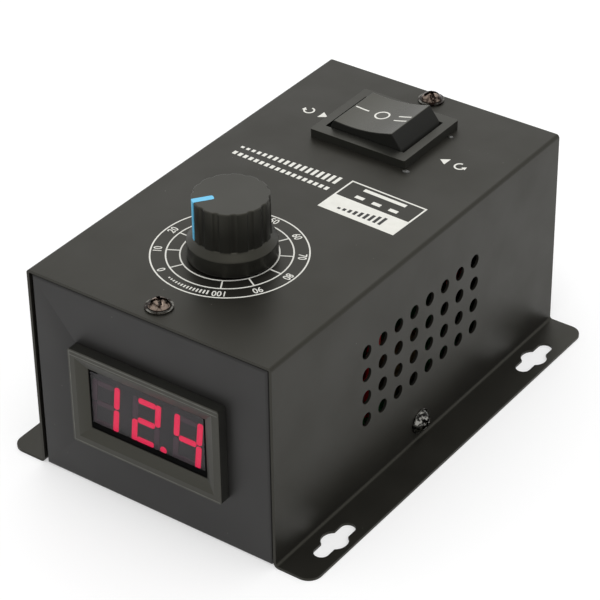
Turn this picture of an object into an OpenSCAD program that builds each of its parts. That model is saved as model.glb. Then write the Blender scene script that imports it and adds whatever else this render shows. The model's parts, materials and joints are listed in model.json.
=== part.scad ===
// Speed controller for a direct-current motor, in millimetres.
// Origin: middle of the casing's underside. +X is right seen from the front, +Y runs back, +Z is up.

/* [Casing] */
// Width of the cover across its two side walls
case_w = 77.7; // [72:0.1:86]
// Length of the casing from front to back
case_l = 135; // [130:1:150]
// Height of the casing
case_h = 62.3; // [60:0.1:70]
// Thickness of the folded steel sheet
sheet_t = 0.8; // [0.7:0.1:1.5]
// Inner radius of the casing's folds
inner_r = 0.3; // [0.2:0.1:1.4]
// Gap all round between the cover and the chassis
shell_gap = 0.4; // [0.3:0.05:0.6]
// Depth of the front and back panels behind the cover's cut edges
panel_recess = 0.2; // [0.1:0.1:0.6]

/* [Flanges] */
// Width of each mounting flange beyond its side wall
flange_w = 11.4; // [10.5:0.1:15]
// Inner radius of the bend at the foot of each side wall
bend_r = 0.8; // [0.4:0.1:1.6]
// Radius of the flange's corners
flange_corner_r = 4; // [2:0.5:6]
// Width of the keyhole slots
slot_w = 4.2; // [3.4:0.1:4.6]
// End-to-end length of each keyhole slot
slot_l = 16; // [13:0.5:20]
// Radius of the round hole in the middle of each slot
key_r = 3.7; // [2.8:0.1:3.9]
// Distance of a slot's centre line from the side wall
key_out = 6.35; // [5.6:0.05:7]
// Distance of the front slots' centres from the front edge
key_front = 17; // [14:0.5:24]
// Distance of the back slots' centres from the back edge
key_back = 19.5; // [14:0.5:24]

/* [Vents] */
// Radius of a vent hole
vent_r = 2; // [1.4:0.1:2.4]
// Number of vent holes along the side
vent_columns = 8; // [4:1:10]
// Number of rows of vent holes
vent_rows = 4; // [2:1:5]
// Distance between columns of vent holes
vent_pitch_y = 7.33; // [6:0.01:8]
// Distance between rows of vent holes
vent_pitch_z = 7.15; // [6:0.05:8]
// Height of the middle of the vent field
vent_mid_z = 32.9; // [30:0.1:34]
// Distance of the middle of the vent field in front of the casing's middle
vent_fore = 1; // [0:0.1:3]

/* [Panel meter] */
// Width of the meter's bezel
meter_w = 48.6; // [47:0.1:52]
// Height of the meter's bezel
meter_h = 29.4; // [28.5:0.1:32]
// How far the bezel stands off the front panel
meter_proud = 3.1; // [2.6:0.1:4]
// Height of the meter's middle above the underside
meter_mid_z = 30.4; // [29.5:0.1:33]
// Depth of the meter behind the panel
meter_depth = 20; // [16:0.5:22]
// Height of one digit
digit_h = 14.5; // [12:0.1:15.5]
// Distance from one digit to the next
digit_pitch = 13.4; // [11.5:0.1:14]

/* [Speed knob] */
// Distance of the knob's axis behind the casing's front edge
knob_in = 35.1; // [32:0.1:38]
// Distance of the knob's axis to the right of the casing's middle
knob_right = 0.9; // [-2:0.1:2]
// Radius of the knob's skirt
skirt_r = 11.9; // [11:0.1:13]
// Radius of the fluted grip at its foot
grip_r = 10.2; // [9.4:0.1:10.8]
// Height of the knob's top above the cover
knob_h = 18.5; // [17:0.5:22]
// Number of flutes round the grip, one of which holds the pointer
flutes = 14; // [10:1:18]
// Radius of the potentiometer's shaft
shaft_r = 3; // [2.5:0.1:3.2]
// Radius of the potentiometer's can
can_r = 8.3; // [7.6:0.1:9]

/* [Direction switch] */
// Length of the switch's bezel across the casing
switch_w = 31.3; // [30:0.1:34]
// Width of the switch's bezel from front to back
switch_d = 27; // [26:0.1:29]
// Thickness of the switch's bezel
switch_bezel = 2.6; // [1.6:0.1:2.8]
// Distance of the switch's bezel from the casing's back edge
switch_back_gap = 12.7; // [11:0.1:16]
// Distance of the switch's middle to the left of the casing's middle
switch_left = 1.9; // [0:0.1:4]
// Tilt of the rocker in each end position
rocker_tilt = 6; // [4:0.5:7]
// Depth of the switch's body below the cover
switch_depth = 20; // [20:0.5:23]

/* [Circuit board] */
// Gap between the main board and each side of the chassis
board_side_gap = 5.8; // [4.8:0.1:6.8]
// Gap between the main board and the front and back panels
board_end_gap = 16.5; // [15.4:0.1:18]
// Thickness of the main board
board_t = 1.6; // [1.2:0.1:2]
// Height of the spacers under the main board
spacer_h = 7; // [6:0.5:9]
// Height of the heatsink above the board
sink_h = 26; // [24:1:27]
// Length of the heatsink
sink_l = 58; // [54:1:60]
// Number of power transistors on the heatsink
transistors = 4; // [2:1:4]
// Gap between the two storage capacitors
cap_gap = 1.5; // [0.5:0.1:4]
// Height of a storage capacitor
cap_h = 25; // [20:1:28]

/* [Terminal block] */
// Distance from one way to the next
way_pitch = 11; // [10.5:0.5:12]
// Height of the terminal block
block_h = 22; // [20:1:26]
// How far the terminal block stands off the back panel
block_proud = 14; // [13:0.5:16]
// Height of the terminal block's middle above the underside
block_mid_z = 25; // [24:0.5:28]

/* [Hidden] */

// Overrun of every cut, then the clearances of seated, loose and running pieces
cut = 1;
seat = 0.05;
fit = 0.3;
run = 0.05;
$fn = 48;

// Casing
half_w = case_w / 2;
half_l = case_l / 2;
over_w = case_w + 2 * flange_w;
fold_r = inner_r + sheet_t;
bend_out_r = bend_r + sheet_t;
chassis_w = case_w - 2 * sheet_t - 2 * shell_gap;
chassis_l = case_l - 2 * panel_recess;
chassis_h = case_h - sheet_t - shell_gap;
panel_y = chassis_l / 2;
key_x = half_w + key_out;
key_front_y = key_front - half_l;
key_back_y = half_l - key_back;
panel_lip = 9;
floor_lip = 12;
vent_first_y = -vent_fore - (vent_columns - 1) * vent_pitch_y / 2;
vent_first_z = vent_mid_z - (vent_rows - 1) * vent_pitch_z / 2;

// Cover screws
screw_r = 1.5;
screw_hole_r = 1.8;
tap_r = screw_r + run;
tap_collar_r = 2.6;
tap_collar_h = 1.3;
screw_head_r = 3.75;
screw_flange_h = 0.5;
screw_dome_r = 3.2;
screw_dome_h = 2.1;
screw_l = 6;
cross_l = 4.2;
cross_w = 1;
cross_depth = 1.5;
top_screw_front = 5.7;
top_screw_back = 3.9;
top_screw_left = 1;
top_screw_places = [[0, top_screw_front - half_l], [-top_screw_left, half_l - top_screw_back]];
top_screw_turns = [-42, -38];
side_screw_y = -1.2;
side_screw_z = 6;
side_screw_turn = 35;

// Panel meter
meter_y = -panel_y;
meter_lip = 1.4;
meter_body_w = meter_w - 2 * meter_lip;
meter_body_h = meter_h - 2 * meter_lip;
meter_wall = 1.4;
meter_inside_w = meter_body_w - 2 * meter_wall;
meter_inside_h = meter_body_h - 2 * meter_wall;
meter_rim = 2.2;
meter_edge_r = 0.8;
window_w = 37.8;
window_h = 18.8;
window_t = 0.6;
window_lap = 0.9;
taper_depth = 1.4;
window_lip = 0.3;
window_front_y = meter_y - meter_proud + taper_depth + window_lip;
window_back_y = window_front_y + window_t;
segment_t = 0.2;
display_gap = 0.1;
display_lap = 1.2;
display_front_y = window_back_y + segment_t + display_gap;
display_d = 8;
display_w = window_w + 2 * display_lap;
display_h = window_h + 2 * display_lap;
display_back_y = display_front_y + display_d;
digit_w = 7.3;
segment_w = 1.65;
segment_cut = 0.4;
middle_gap = 0.3;
side_gap = 0.1;
digit_slant = 5.8;
digit_left = 1.25;
digit_drop = 1.1;
dot_r = 1;
dot_out = 1.6;
meter_board_t = 1.2;
meter_back_t = 1.2;
meter_end_y = meter_y + meter_depth;
clip_l = 6;
clip_h = 8;
clip_proud = 1;
meter_wire_r = 3.4;
meter_wire_z = meter_mid_z + meter_body_h / 4;

// Potentiometer and knob
knob_x = knob_right;
knob_y = knob_in - half_l;
bushing_r = 3.5;
bushing_proud = 5.2;
can_d = 9;
can_wall = 0.5;
plate_t = 1;
pot_hole_gap = 0.15;
pot_hole_r = bushing_r + pot_hole_gap;
washer_r = 5.4;
washer_t = 0.5;
nut_r = 5.77;
nut_h = 2;
pot_top_z = case_h - sheet_t;
pot_floor_z = pot_top_z - can_d;
track_r = can_r - can_wall - seat;
track_t = 1.2;
track_z = pot_floor_z + can_wall;
wiper_r = 5.6;
wiper_t = 0.8;
wiper_gap = 0.8;
wiper_z = track_z + track_t + wiper_gap;
wiper_arm_w = 2.4;
shaft_seat = 0.01;
lug_w = 2;
lug_t = 0.5;
lug_l = 14;
lug_pitch = 5;
knob_lift = 0.8;
skirt_h = 4.5;
skirt_bevel = 1.6;
grip_draft = 0.1;
grip_top_r = grip_r - grip_draft;
flute_r = 1.2;
flute_depth = 0.38;
knob_top_z = case_h + knob_h;
knob_foot_z = case_h + knob_lift;
grip_z = knob_foot_z + skirt_h + skirt_bevel;
knob_rim = 0.5;
bore_gap = 0.02;
knob_bore_r = shaft_r + bore_gap;
knob_crown = 3;
shaft_top_z = knob_top_z - knob_crown;
knob_cavity_r = 9.2;
nut_clear = 1.2;
knob_cavity_h = nut_h + washer_t + nut_clear;
bushing_clear = 0.6;
bushing_clear_r = bushing_r + bushing_clear;
pointer_w = 1.3;
pointer_top_w = 1.9;
pointer_t = 0.5;
pointer_proud = 0.1;
pointer_reach_share = 0.55;
pointer_angle = 37;

// Direction switch
switch_x = -switch_left;
switch_y = half_l - switch_back_gap - switch_d / 2;
switch_lip_w = 1.3;
switch_lip_d = 3;
switch_body_w = switch_w - 2 * switch_lip_w;
switch_body_d = switch_d - 2 * switch_lip_d;
switch_top_z = case_h + switch_bezel;
switch_floor_z = case_h - switch_depth;
switch_floor_t = 1.5;
switch_corner_r = 0.5;
pivot_drop = 2;
pivot_z = case_h - pivot_drop;
rocker_margin = 3.45;
rocker_slant = 2.6;
rocker_half = switch_w / 2 - rocker_margin;
rocker_top_half = rocker_half - rocker_slant;
rocker_shoulder_z = 3.9;
rocker_top_z = 8.05;
rocker_dip = 1.05;
rocker_foot_z = -3.2;
rocker_swing_r = norm([rocker_half, rocker_shoulder_z]);
rocker_dish_r = (rocker_top_half * rocker_top_half + rocker_dip * rocker_dip) / (2 * rocker_dip);
swing_gap = 0.15;
switch_wall = 0.7;
rocker_side_gap = 0.2;
switch_window_w = 2 * (rocker_swing_r + swing_gap);
switch_window_d = switch_body_d - 2 * switch_wall;
rocker_d = switch_window_d - 2 * rocker_side_gap;
pin_r = 1.5;
pin_socket = 0.5;
pin_end_gap = 0.15;
pin_l = rocker_side_gap + pin_socket - pin_end_gap;
row_y = 5;
column_x = 8;
plunger_r = 2;
plunger_bore_r = plunger_r + run;
plunger_top_z = -1;
plunger_tip_z = -12.55;
spring_r = 1.7;
spring_bore_top_z = 4;
lever_pivot_z = -13;
lever_tilt = 8;
lever_l = 19;
lever_w = 5;
lever_t = 0.8;
button_r = 1.5;
button_t = 0.8;
ridge_r = 0.6;
ridge_gap = 0.1;
fixed_button_drop = 2.65;
tab_w = 6.3;
tab_t = 0.8;
tab_l = 8;
tab_slot_gap = 0.05;
sleeve_w = 7.4;
sleeve_t = 3;
sleeve_l = 8.5;
sleeve_gap = 1.2;

// Circuit board and what stands on it
board_w = chassis_w - 2 * sheet_t - 2 * board_side_gap;
board_l = chassis_l - 2 * sheet_t - 2 * board_end_gap;
board_right_x = board_w / 2;
board_front_y = -board_l / 2;
board_z = sheet_t + spacer_h;
board_top = board_z + board_t;
spacer_r = 3;
spacer_spigot_r = 2;
spacer_bore_r = screw_r + run;
board_hole_r = 1.7;
board_hole_in = 3.6;
board_screw_head_r = 2.8;
board_screw_head_h = 2;
board_screw_l = 6;
sink_in = 1;
sink_x = sink_in - board_w / 2;
sink_w = 18;
sink_plate = 3;
sink_fore = 3;
sink_y = -sink_fore - sink_l / 2;
sink_fin = 1.6;
sink_fins = 5;
sink_face_x = sink_x + sink_w;
pad_t = 0.3;
pad_w = 12;
pad_h = 18;
pad_margin = 1;
body_w = 10;
body_h = 9.2;
body_t = 4.5;
tab_metal_t = 1.3;
tab_metal_h = 6.4;
tab_hole_r = 1.8;
tab_hole_up = 3;
body_lift = 4;
leg_w = 0.8;
leg_t = 0.5;
leg_pitch = 2.54;
leg_hole_r = 0.6;
leg_tail = 1;
leg_foot_z = board_z - leg_tail;
sink_screw_head_r = 2.7;
sink_screw_head_h = 1.8;
sink_screw_l = 5.5;
transistor_pitch = (sink_l - pad_w - 2 * pad_margin) / (transistors - 1);
transistor_z = board_top + body_lift;
transistor_hole_z = transistor_z + body_h + tab_hole_up;
parts_left_x = sink_face_x + pad_t + body_t;
parts_w = board_right_x - parts_left_x;
cap_count = 2;
cap_left_gap = 4.2;
cap_right_gap = 0.5;
cap_r = (parts_w - cap_left_gap - cap_right_gap - (cap_count - 1) * cap_gap) / (2 * cap_count);
cap_x = parts_left_x + cap_left_gap + cap_r;
cap_in = 17;
cap_y = board_front_y + cap_in;
cap_pitch = 2 * cap_r + cap_gap;
cap_groove_r = 0.5;
film_share = 0.869;
film_x = parts_left_x + film_share * parts_w;
film_in = 56;
film_y = board_front_y + film_in;
film_w = 8;
film_l = 16;
film_h = 13;
diode_r = 4.5;
diode_l = 9;
diode_share = 0.241;
diode_x = parts_left_x + diode_share * parts_w;
diode_in = 37;
diode_y = board_front_y + diode_in;
shunt_r = 1;
shunt_span = 14;
shunt_h = 6;
shunt_share = 0.49;
shunt_x = parts_left_x + shunt_share * parts_w;
shunt_in = 46;
shunt_y = board_front_y + shunt_in;
chip_w = 7;
chip_l = 19;
chip_h = 3.6;
chip_share = 0.267;
chip_x = parts_left_x + chip_share * parts_w;
chip_in = 54;
chip_y = board_front_y + chip_in;
chip_leg_w = 1.2;
chip_leg_t = 0.4;
chip_leg_pitch = 2.54;
chip_leg_out = 0.6;
header_w = 5;
header_l = 9;
header_h = 6;
header_wall = 0.8;
header_pin_r = 0.35;
header_pin_l = 5;
header_pitch = 2.5;
header_share = 0.6335;
header_x = parts_left_x + header_share * parts_w;
header_in = 33;
header_first_y = board_front_y + header_in;
header_step = 10;
plug_gap = 0.1;
plug_w = header_w - 2 * header_wall - 2 * plug_gap;
plug_l = header_l - 2 * header_wall - 2 * plug_gap;
plug_h = 6.5;

// Terminal block
ways = 4;
block_y = panel_y;
fin_t = 1.5;
cell_w = way_pitch - fin_t;
ear_w = 6.2;
block_w = ways * way_pitch + fin_t;
block_full_w = block_w + 2 * ear_w;
block_base = 6;
ear_base = 5;
strip_t = 1;
strip_gap = 0.4;
strip_w = cell_w - 2 * strip_gap;
strip_h = 13;
strip_tab_w = 6;
strip_tab_up = 4;
strip_tab_z = block_mid_z + strip_tab_up;
strip_reach = 8;
block_slot_h = 5;
block_slot_in = 1.5;
block_slot_w = ways * way_pitch - 2 * block_slot_in;
clamp_t = 1;
clamp_h = 8;
clamp_lift = 1.4;
clamp_face = block_base + strip_t + clamp_lift + clamp_t;
post_r = 2;
post_head_r = 3.6;
post_head_h = 2.6;
ear_screw_r = 1.5;
ear_hole_gap = 0.1;
ear_hole_r = ear_screw_r + ear_hole_gap;
ear_head_r = 2.8;
ear_head_h = 2;
ear_screw_l = 11;
ear_nut_r = 3.17;
ear_nut_h = 2.4;
lug_hole_r = 1.4;
lug_hole_in = 1;

// Leads held inside the casing
lead_r = 1.7;
signal_r = 0.6;
lead_sides = 8;
lead_rings = 22;
lead_start = 9;
lead_gap = 0.05;
supply_pad_in = 4;
black_pad_side = 7;
black_pad_in = 12;
red_pad_side = 3;
red_pad_in = 39.5;
red_pad_y = board_front_y + red_pad_in;
red_drop = 30;
signal_start = 5;
signal_drop = 10;
signal_gap = 1.6;
meter_run = 34;
meter_over = 9;
meter_drop = cap_h + meter_over;

// Plain shapes
module slab(size, at = [0, 0, 0]) {
    translate([at[0] - size[0] / 2, at[1] - size[1] / 2, at[2]]) cube(size);
}

module rounded_square(w, l, r) {
    square([w - 2 * r, l], center = true);
    square([w, l - 2 * r], center = true);
    for (sx = [-1, 1], sy = [-1, 1]) {
        translate([sx * (w / 2 - r), sy * (l / 2 - r)]) circle(r);
    }
}

module rounded_block(w, l, h, r) {
    intersection() {
        linear_extrude(h) rounded_square(w, l, r);
        translate([0, l / 2 + cut, h / 2]) rotate([90, 0, 0])
            linear_extrude(l + 2 * cut) rounded_square(w, h, r);
        translate([-w / 2 - cut, 0, h / 2]) rotate([90, 0, 90])
            linear_extrude(w + 2 * cut) rounded_square(l, h, r);
    }
}

module rod_x(r, l) {
    rotate([0, 90, 0]) cylinder(r = r, h = l, center = true);
}

module rod_y(r, l) {
    rotate([90, 0, 0]) cylinder(r = r, h = l, center = true);
}

// A pan head with a thin flange and a cross recess, its seat at z = 0 and its shank below
module pan_screw(head_r, flange_h, dome_r, dome_h, shank_r, shank_l) {
    ball_r = (dome_r * dome_r + dome_h * dome_h) / (2 * dome_h);
    difference() {
        union() {
            cylinder(r = head_r, h = flange_h);
            translate([0, 0, flange_h]) intersection() {
                cylinder(r = dome_r, h = dome_h);
                translate([0, 0, dome_h - ball_r]) sphere(ball_r);
            }
            translate([0, 0, -shank_l]) cylinder(r = shank_r, h = shank_l + flange_h / 2);
        }
        for (turn = [0, 90]) rotate([0, 0, turn]) {
            slab([cross_l, cross_w, cross_depth + cut], [0, 0, flange_h + dome_h - cross_depth]);
        }
    }
}

// A round lead along a cubic curve from a to b, leaving along u and arriving against v
function curve(a, u, v, b, t) =
    pow(1 - t, 3) * a + 3 * t * pow(1 - t, 2) * (a + u)
    + 3 * t * t * (1 - t) * (b + v) + pow(t, 3) * b;

function slope(a, u, v, b, t) =
    3 * pow(1 - t, 2) * u + 6 * t * (1 - t) * (b + v - a - u) - 3 * t * t * v;

function unit(v) = v / norm(v);

module lead(a, u, v, b, r, side = [1, 0, 0]) {
    steps = [for (i = [0 : lead_rings]) i / lead_rings];
    rings = [for (t = steps)
        let (
            middle = curve(a, u, v, b, t),
            ahead = unit(slope(a, u, v, b, t)),
            across = unit(side - (side * ahead) * ahead),
            other = cross(ahead, across)
        )
        [for (k = [0 : lead_sides - 1])
            middle + r * (cos(k * 360 / lead_sides) * across + sin(k * 360 / lead_sides) * other)]];
    points = [for (ring = rings, p = ring) p];
    last = lead_rings * lead_sides;
    walls = [for (i = [0 : lead_rings - 1], k = [0 : lead_sides - 1])
        let (n = (k + 1) % lead_sides, low = i * lead_sides, high = low + lead_sides)
        each [[low + k, high + k, high + n], [low + k, high + n, low + n]]];
    near_cap = [for (k = [1 : lead_sides - 2]) [0, k, k + 1]];
    far_cap = [for (k = [1 : lead_sides - 2]) [last, last + k + 1, last + k]];
    polyhedron(points, concat(walls, near_cap, far_cap));
}

// Casing
module hat_profile() {
    difference() {
        union() {
            translate([0, case_h / 2]) rounded_square(case_w, case_h, fold_r);
            translate([-half_w, 0]) square([case_w, bend_out_r + sheet_t]);
            translate([-over_w / 2, 0]) square([over_w, sheet_t]);
            for (s = [-1, 1]) {
                translate([s * (half_w + bend_r / 2), sheet_t + bend_r / 2])
                    square([bend_r, bend_r], center = true);
            }
        }
        translate([0, (case_h - sheet_t) / 2])
            rounded_square(case_w - 2 * sheet_t, case_h - sheet_t, inner_r);
        translate([sheet_t - half_w, -cut]) square([case_w - 2 * sheet_t, bend_out_r + cut]);
        for (s = [-1, 1]) {
            translate([s * (half_w + bend_r), bend_out_r]) circle(bend_r);
            difference() {
                translate([s * (half_w - sheet_t + bend_out_r / 2), bend_out_r / 2])
                    square([bend_out_r, bend_out_r], center = true);
                translate([s * (half_w - sheet_t + bend_out_r), bend_out_r]) circle(bend_out_r);
            }
        }
    }
}

module keyhole() {
    translate([0, 0, -cut]) {
        cylinder(r = key_r, h = sheet_t + 2 * cut);
        for (s = [-1, 1]) {
            translate([0, s * (slot_l - slot_w) / 2, 0]) cylinder(d = slot_w, h = sheet_t + 2 * cut);
        }
        slab([slot_w, slot_l - slot_w, sheet_t + 2 * cut]);
    }
}

module flange_corner_cut() {
    difference() {
        slab([2 * flange_corner_r, 2 * flange_corner_r, sheet_t + 2 * cut], [0, 0, -cut]);
        translate([-flange_corner_r, -flange_corner_r, -2 * cut])
            cylinder(r = flange_corner_r, h = sheet_t + 4 * cut);
        slab([2 * flange_corner_r, 4 * flange_corner_r, sheet_t + 4 * cut],
            [-2 * flange_corner_r, 0, -2 * cut]);
        slab([4 * flange_corner_r, 2 * flange_corner_r, sheet_t + 4 * cut],
            [0, -2 * flange_corner_r, -2 * cut]);
    }
}

module cover() {
    color([0.26, 0.26, 0.25])
    difference() {
        rotate([90, 0, 0]) linear_extrude(case_l, center = true) hat_profile();
        for (sx = [-1, 1]) {
            for (y = [key_front_y, key_back_y]) translate([sx * key_x, y, 0]) keyhole();
            for (sy = [-1, 1]) {
                translate([sx * over_w / 2, sy * half_l, 0]) mirror([sx < 0 ? 1 : 0, 0, 0])
                    mirror([0, sy < 0 ? 1 : 0, 0]) flange_corner_cut();
            }
        }
        for (i = [0 : vent_columns - 1], k = [0 : vent_rows - 1]) {
            translate([0, vent_first_y + i * vent_pitch_y, vent_first_z + k * vent_pitch_z])
                rod_x(vent_r, case_w + 2 * cut);
        }
        for (p = top_screw_places) {
            translate([p[0], p[1], case_h - fold_r]) cylinder(r = screw_hole_r, h = fold_r + cut);
        }
        translate([0, side_screw_y, side_screw_z]) rod_x(screw_hole_r, case_w + 2 * cut);
        translate([knob_x, knob_y, case_h - fold_r]) cylinder(r = pot_hole_r, h = fold_r + cut);
        slab([switch_body_w + 2 * seat, switch_body_d + 2 * seat, fold_r + cut],
            [switch_x, switch_y, case_h - fold_r]);
    }
}

module chassis() {
    color([0.24, 0.24, 0.24])
    difference() {
        union() {
            difference() {
                rounded_block(chassis_w, chassis_l, chassis_h, fold_r);
                translate([0, 0, sheet_t])
                    rounded_block(chassis_w - 2 * sheet_t, chassis_l - 2 * sheet_t,
                        chassis_h - 2 * sheet_t, inner_r);
                slab([chassis_w + 2 * cut, chassis_l - 2 * panel_lip, chassis_h], [0, 0, floor_lip]);
            }
            for (p = top_screw_places) {
                translate([p[0], p[1], chassis_h - sheet_t - tap_collar_h])
                    cylinder(r = tap_collar_r, h = tap_collar_h + sheet_t / 2);
            }
            for (s = [-1, 1]) {
                translate([s * (chassis_w / 2 - sheet_t - tap_collar_h / 2), side_screw_y, side_screw_z])
                    rod_x(tap_collar_r, tap_collar_h);
            }
        }
        for (p = top_screw_places) {
            translate([p[0], p[1], chassis_h - sheet_t - tap_collar_h - cut])
                cylinder(r = tap_r, h = tap_collar_h + sheet_t + 2 * cut);
        }
        translate([0, side_screw_y, side_screw_z]) rod_x(tap_r, case_w);
        slab([meter_body_w + 2 * seat, 3 * sheet_t, meter_body_h + 2 * seat],
            [0, -panel_y, meter_mid_z - meter_body_h / 2 - seat]);
        slab([block_slot_w, 3 * sheet_t, block_slot_h], [0, panel_y, strip_tab_z - block_slot_h / 2]);
        for (s = [-1, 1]) {
            translate([s * (block_w + ear_w) / 2, panel_y, block_mid_z]) rod_y(ear_hole_r, 3 * sheet_t);
        }
        spacer_places() translate([0, 0, -cut]) cylinder(r = spacer_spigot_r + seat, h = sheet_t + 2 * cut);
    }
}

module top_screws() {
    color([0.42, 0.36, 0.3])
    for (i = [0, 1]) {
        translate([top_screw_places[i][0], top_screw_places[i][1], case_h])
            rotate([0, 0, top_screw_turns[i]])
            pan_screw(screw_head_r, screw_flange_h, screw_dome_r, screw_dome_h, screw_r, screw_l);
    }
}

module side_screws() {
    color([0.42, 0.36, 0.3])
    for (s = [-1, 1]) {
        translate([s * half_w, side_screw_y, side_screw_z]) rotate([0, s * 90, 0])
            rotate([0, 0, side_screw_turn])
            pan_screw(screw_head_r, screw_flange_h, screw_dome_r, screw_dome_h, screw_r, screw_l);
    }
}

// Panel meter
module meter_taper() {
    wide = [meter_w - 2 * meter_rim, meter_h - 2 * meter_rim];
    translate([0, meter_y - meter_proud + taper_depth, meter_mid_z]) rotate([90, 0, 0])
        linear_extrude(taper_depth, scale = [wide[0] / window_w, wide[1] / window_h])
            square([window_w, window_h], center = true);
}

module meter_housing() {
    full_depth = meter_depth + meter_proud + cut;
    color([0.2, 0.2, 0.2])
    difference() {
        union() {
            translate([0, meter_y, meter_mid_z]) rotate([90, 0, 0])
                linear_extrude(meter_proud) rounded_square(meter_w, meter_h, meter_edge_r);
            slab([meter_body_w, meter_depth + meter_proud / 2, meter_body_h],
                [0, meter_y + (meter_depth - meter_proud / 2) / 2, meter_mid_z - meter_body_h / 2]);
            for (s = [-1, 1]) {
                translate([s * meter_body_w / 2, meter_y + sheet_t + seat, meter_mid_z - clip_h / 2])
                    linear_extrude(clip_h)
                        polygon([[-s * meter_wall / 2, 0], [s * clip_proud, 0],
                            [0, clip_l], [-s * meter_wall / 2, clip_l]]);
            }
        }
        meter_taper();
        slab([window_w, meter_depth, window_h],
            [0, meter_y - meter_proud + meter_depth / 2, meter_mid_z - window_h / 2]);
        slab([meter_inside_w, full_depth, meter_inside_h],
            [0, window_front_y + full_depth / 2, meter_mid_z - meter_inside_h / 2]);
    }
}

module meter_window() {
    color([0.35, 0.1, 0.12, 0.5])
    slab([window_w + 2 * window_lap, window_t, window_h + 2 * window_lap],
        [0, window_front_y + window_t / 2, meter_mid_z - window_h / 2 - window_lap]);
}

module meter_display() {
    color([0.22, 0.2, 0.21])
    slab([display_w, display_d, display_h],
        [0, display_front_y + display_d / 2, meter_mid_z - display_h / 2]);
}

// Outline of one straight bar with cut corners, lying along x
function bar_outline(l) =
    let (half = segment_w / 2, reach = l / 2, low = half - segment_cut, near = reach - segment_cut)
    [[-reach, -low], [-near, -half], [near, -half], [reach, -low],
        [reach, low], [near, half], [-near, half], [-reach, low]];

// Bars of a digit: top, right top, right bottom, bottom, left bottom, left top, middle
module digit(bars) {
    tall = digit_h / 2 - middle_gap;
    wide = digit_w - segment_w - 2 * side_gap;
    high = (digit_h - segment_w) / 2;
    mid = middle_gap + tall / 2;
    side = digit_w / 2;
    places = [[0, high], [side, mid], [side, -mid], [0, -high], [-side, -mid], [-side, mid], [0, 0]];
    lean = tan(digit_slant);
    for (i = bars) {
        place = places[i];
        upright = place[0] != 0;
        polygon([for (p = bar_outline(upright ? tall : wide))
            let (at = place + (upright ? [-p[1], p[0]] : p)) [at[0] + at[1] * lean, at[1]]]);
    }
}

module on_display() {
    translate([-digit_left, display_front_y, meter_mid_z - digit_drop]) rotate([90, 0, 0])
        linear_extrude(segment_t) children();
}

module meter_lit_segments() {
    color([0.95, 0.1, 0.3])
    on_display() {
        translate([-digit_pitch, 0]) digit([1, 2]);
        digit([0, 1, 6, 4, 3]);
        translate([digit_pitch, 0]) digit([5, 6, 1, 2]);
        translate([digit_w / 2 + dot_out, (segment_w - digit_h) / 2]) circle(dot_r);
    }
}

module meter_dark_segments() {
    color([0.35, 0.24, 0.33])
    on_display() {
        translate([-digit_pitch, 0]) digit([0, 6, 4, 3, 5]);
        digit([5, 2]);
        translate([digit_pitch, 0]) digit([0, 3, 4]);
    }
}

module meter_board() {
    color([0.1, 0.35, 0.2])
    slab([meter_inside_w - 2 * seat, meter_board_t, meter_inside_h - 2 * seat],
        [0, display_back_y + meter_board_t / 2, meter_mid_z - meter_inside_h / 2 + seat]);
}

module meter_back() {
    color([0.2, 0.2, 0.2])
    difference() {
        slab([meter_inside_w - 2 * seat, meter_back_t, meter_inside_h - 2 * seat],
            [0, meter_end_y - meter_back_t / 2, meter_mid_z - meter_inside_h / 2 + seat]);
        translate([0, meter_end_y, meter_wire_z]) rod_y(meter_wire_r, 4 * meter_back_t);
    }
}

// Potentiometer
module pot_bushing() {
    color([0.72, 0.7, 0.66])
    translate([knob_x, knob_y, 0]) difference() {
        union() {
            translate([0, 0, pot_top_z - plate_t]) cylinder(r = can_r, h = plate_t);
            translate([0, 0, pot_top_z - plate_t / 2])
                cylinder(r = bushing_r, h = plate_t / 2 + sheet_t + bushing_proud);
        }
        translate([0, 0, pot_floor_z])
            cylinder(r = shaft_r + run, h = can_d + sheet_t + bushing_proud + cut);
    }
}

module pot_can() {
    color([0.7, 0.7, 0.7])
    translate([knob_x, knob_y, pot_floor_z]) difference() {
        cylinder(r = can_r, h = can_d - plate_t);
        translate([0, 0, can_wall]) cylinder(r = can_r - can_wall, h = can_d);
        slab([2 * lug_pitch + lug_w + 2 * fit, 2 * can_r, lug_t + 2 * fit],
            [0, can_r, can_wall + track_t - fit]);
    }
}

module pot_track() {
    color([0.25, 0.16, 0.1])
    translate([knob_x, knob_y, track_z]) difference() {
        cylinder(r = track_r, h = track_t);
        translate([0, 0, -cut]) cylinder(r = bushing_r / 2, h = track_t + 2 * cut);
    }
}

module pot_lugs() {
    color([0.8, 0.78, 0.7])
    for (i = [-1, 0, 1]) difference() {
        translate([knob_x + i * lug_pitch - lug_w / 2, knob_y + can_r / 2, track_z + track_t])
            cube([lug_w, lug_l - can_r / 2, lug_t]);
        translate([knob_x + i * lug_pitch, knob_y + lug_l - lug_w / 2, track_z])
            cylinder(r = lug_w / 4, h = track_t + 2 * cut);
    }
}

module pot_shaft() {
    color([0.78, 0.78, 0.76])
    translate([knob_x, knob_y, wiper_z]) cylinder(r = shaft_r, h = shaft_top_z - wiper_z);
}

module pot_wiper() {
    color([0.75, 0.6, 0.3])
    translate([knob_x, knob_y, wiper_z]) difference() {
        union() {
            cylinder(r = wiper_r, h = wiper_t);
            rotate([0, 0, -90 - pointer_angle]) translate([wiper_r / 2, -wiper_arm_w / 2, 0])
                cube([track_r - wiper_r / 2 - fit, wiper_arm_w, wiper_t]);
        }
        translate([0, 0, -cut]) cylinder(r = shaft_r + shaft_seat, h = wiper_t + 2 * cut);
    }
}

module pot_washer() {
    color([0.7, 0.68, 0.62])
    translate([knob_x, knob_y, case_h]) difference() {
        cylinder(r = washer_r, h = washer_t);
        translate([0, 0, -cut]) cylinder(r = pot_hole_r, h = washer_t + 2 * cut);
    }
}

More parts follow.
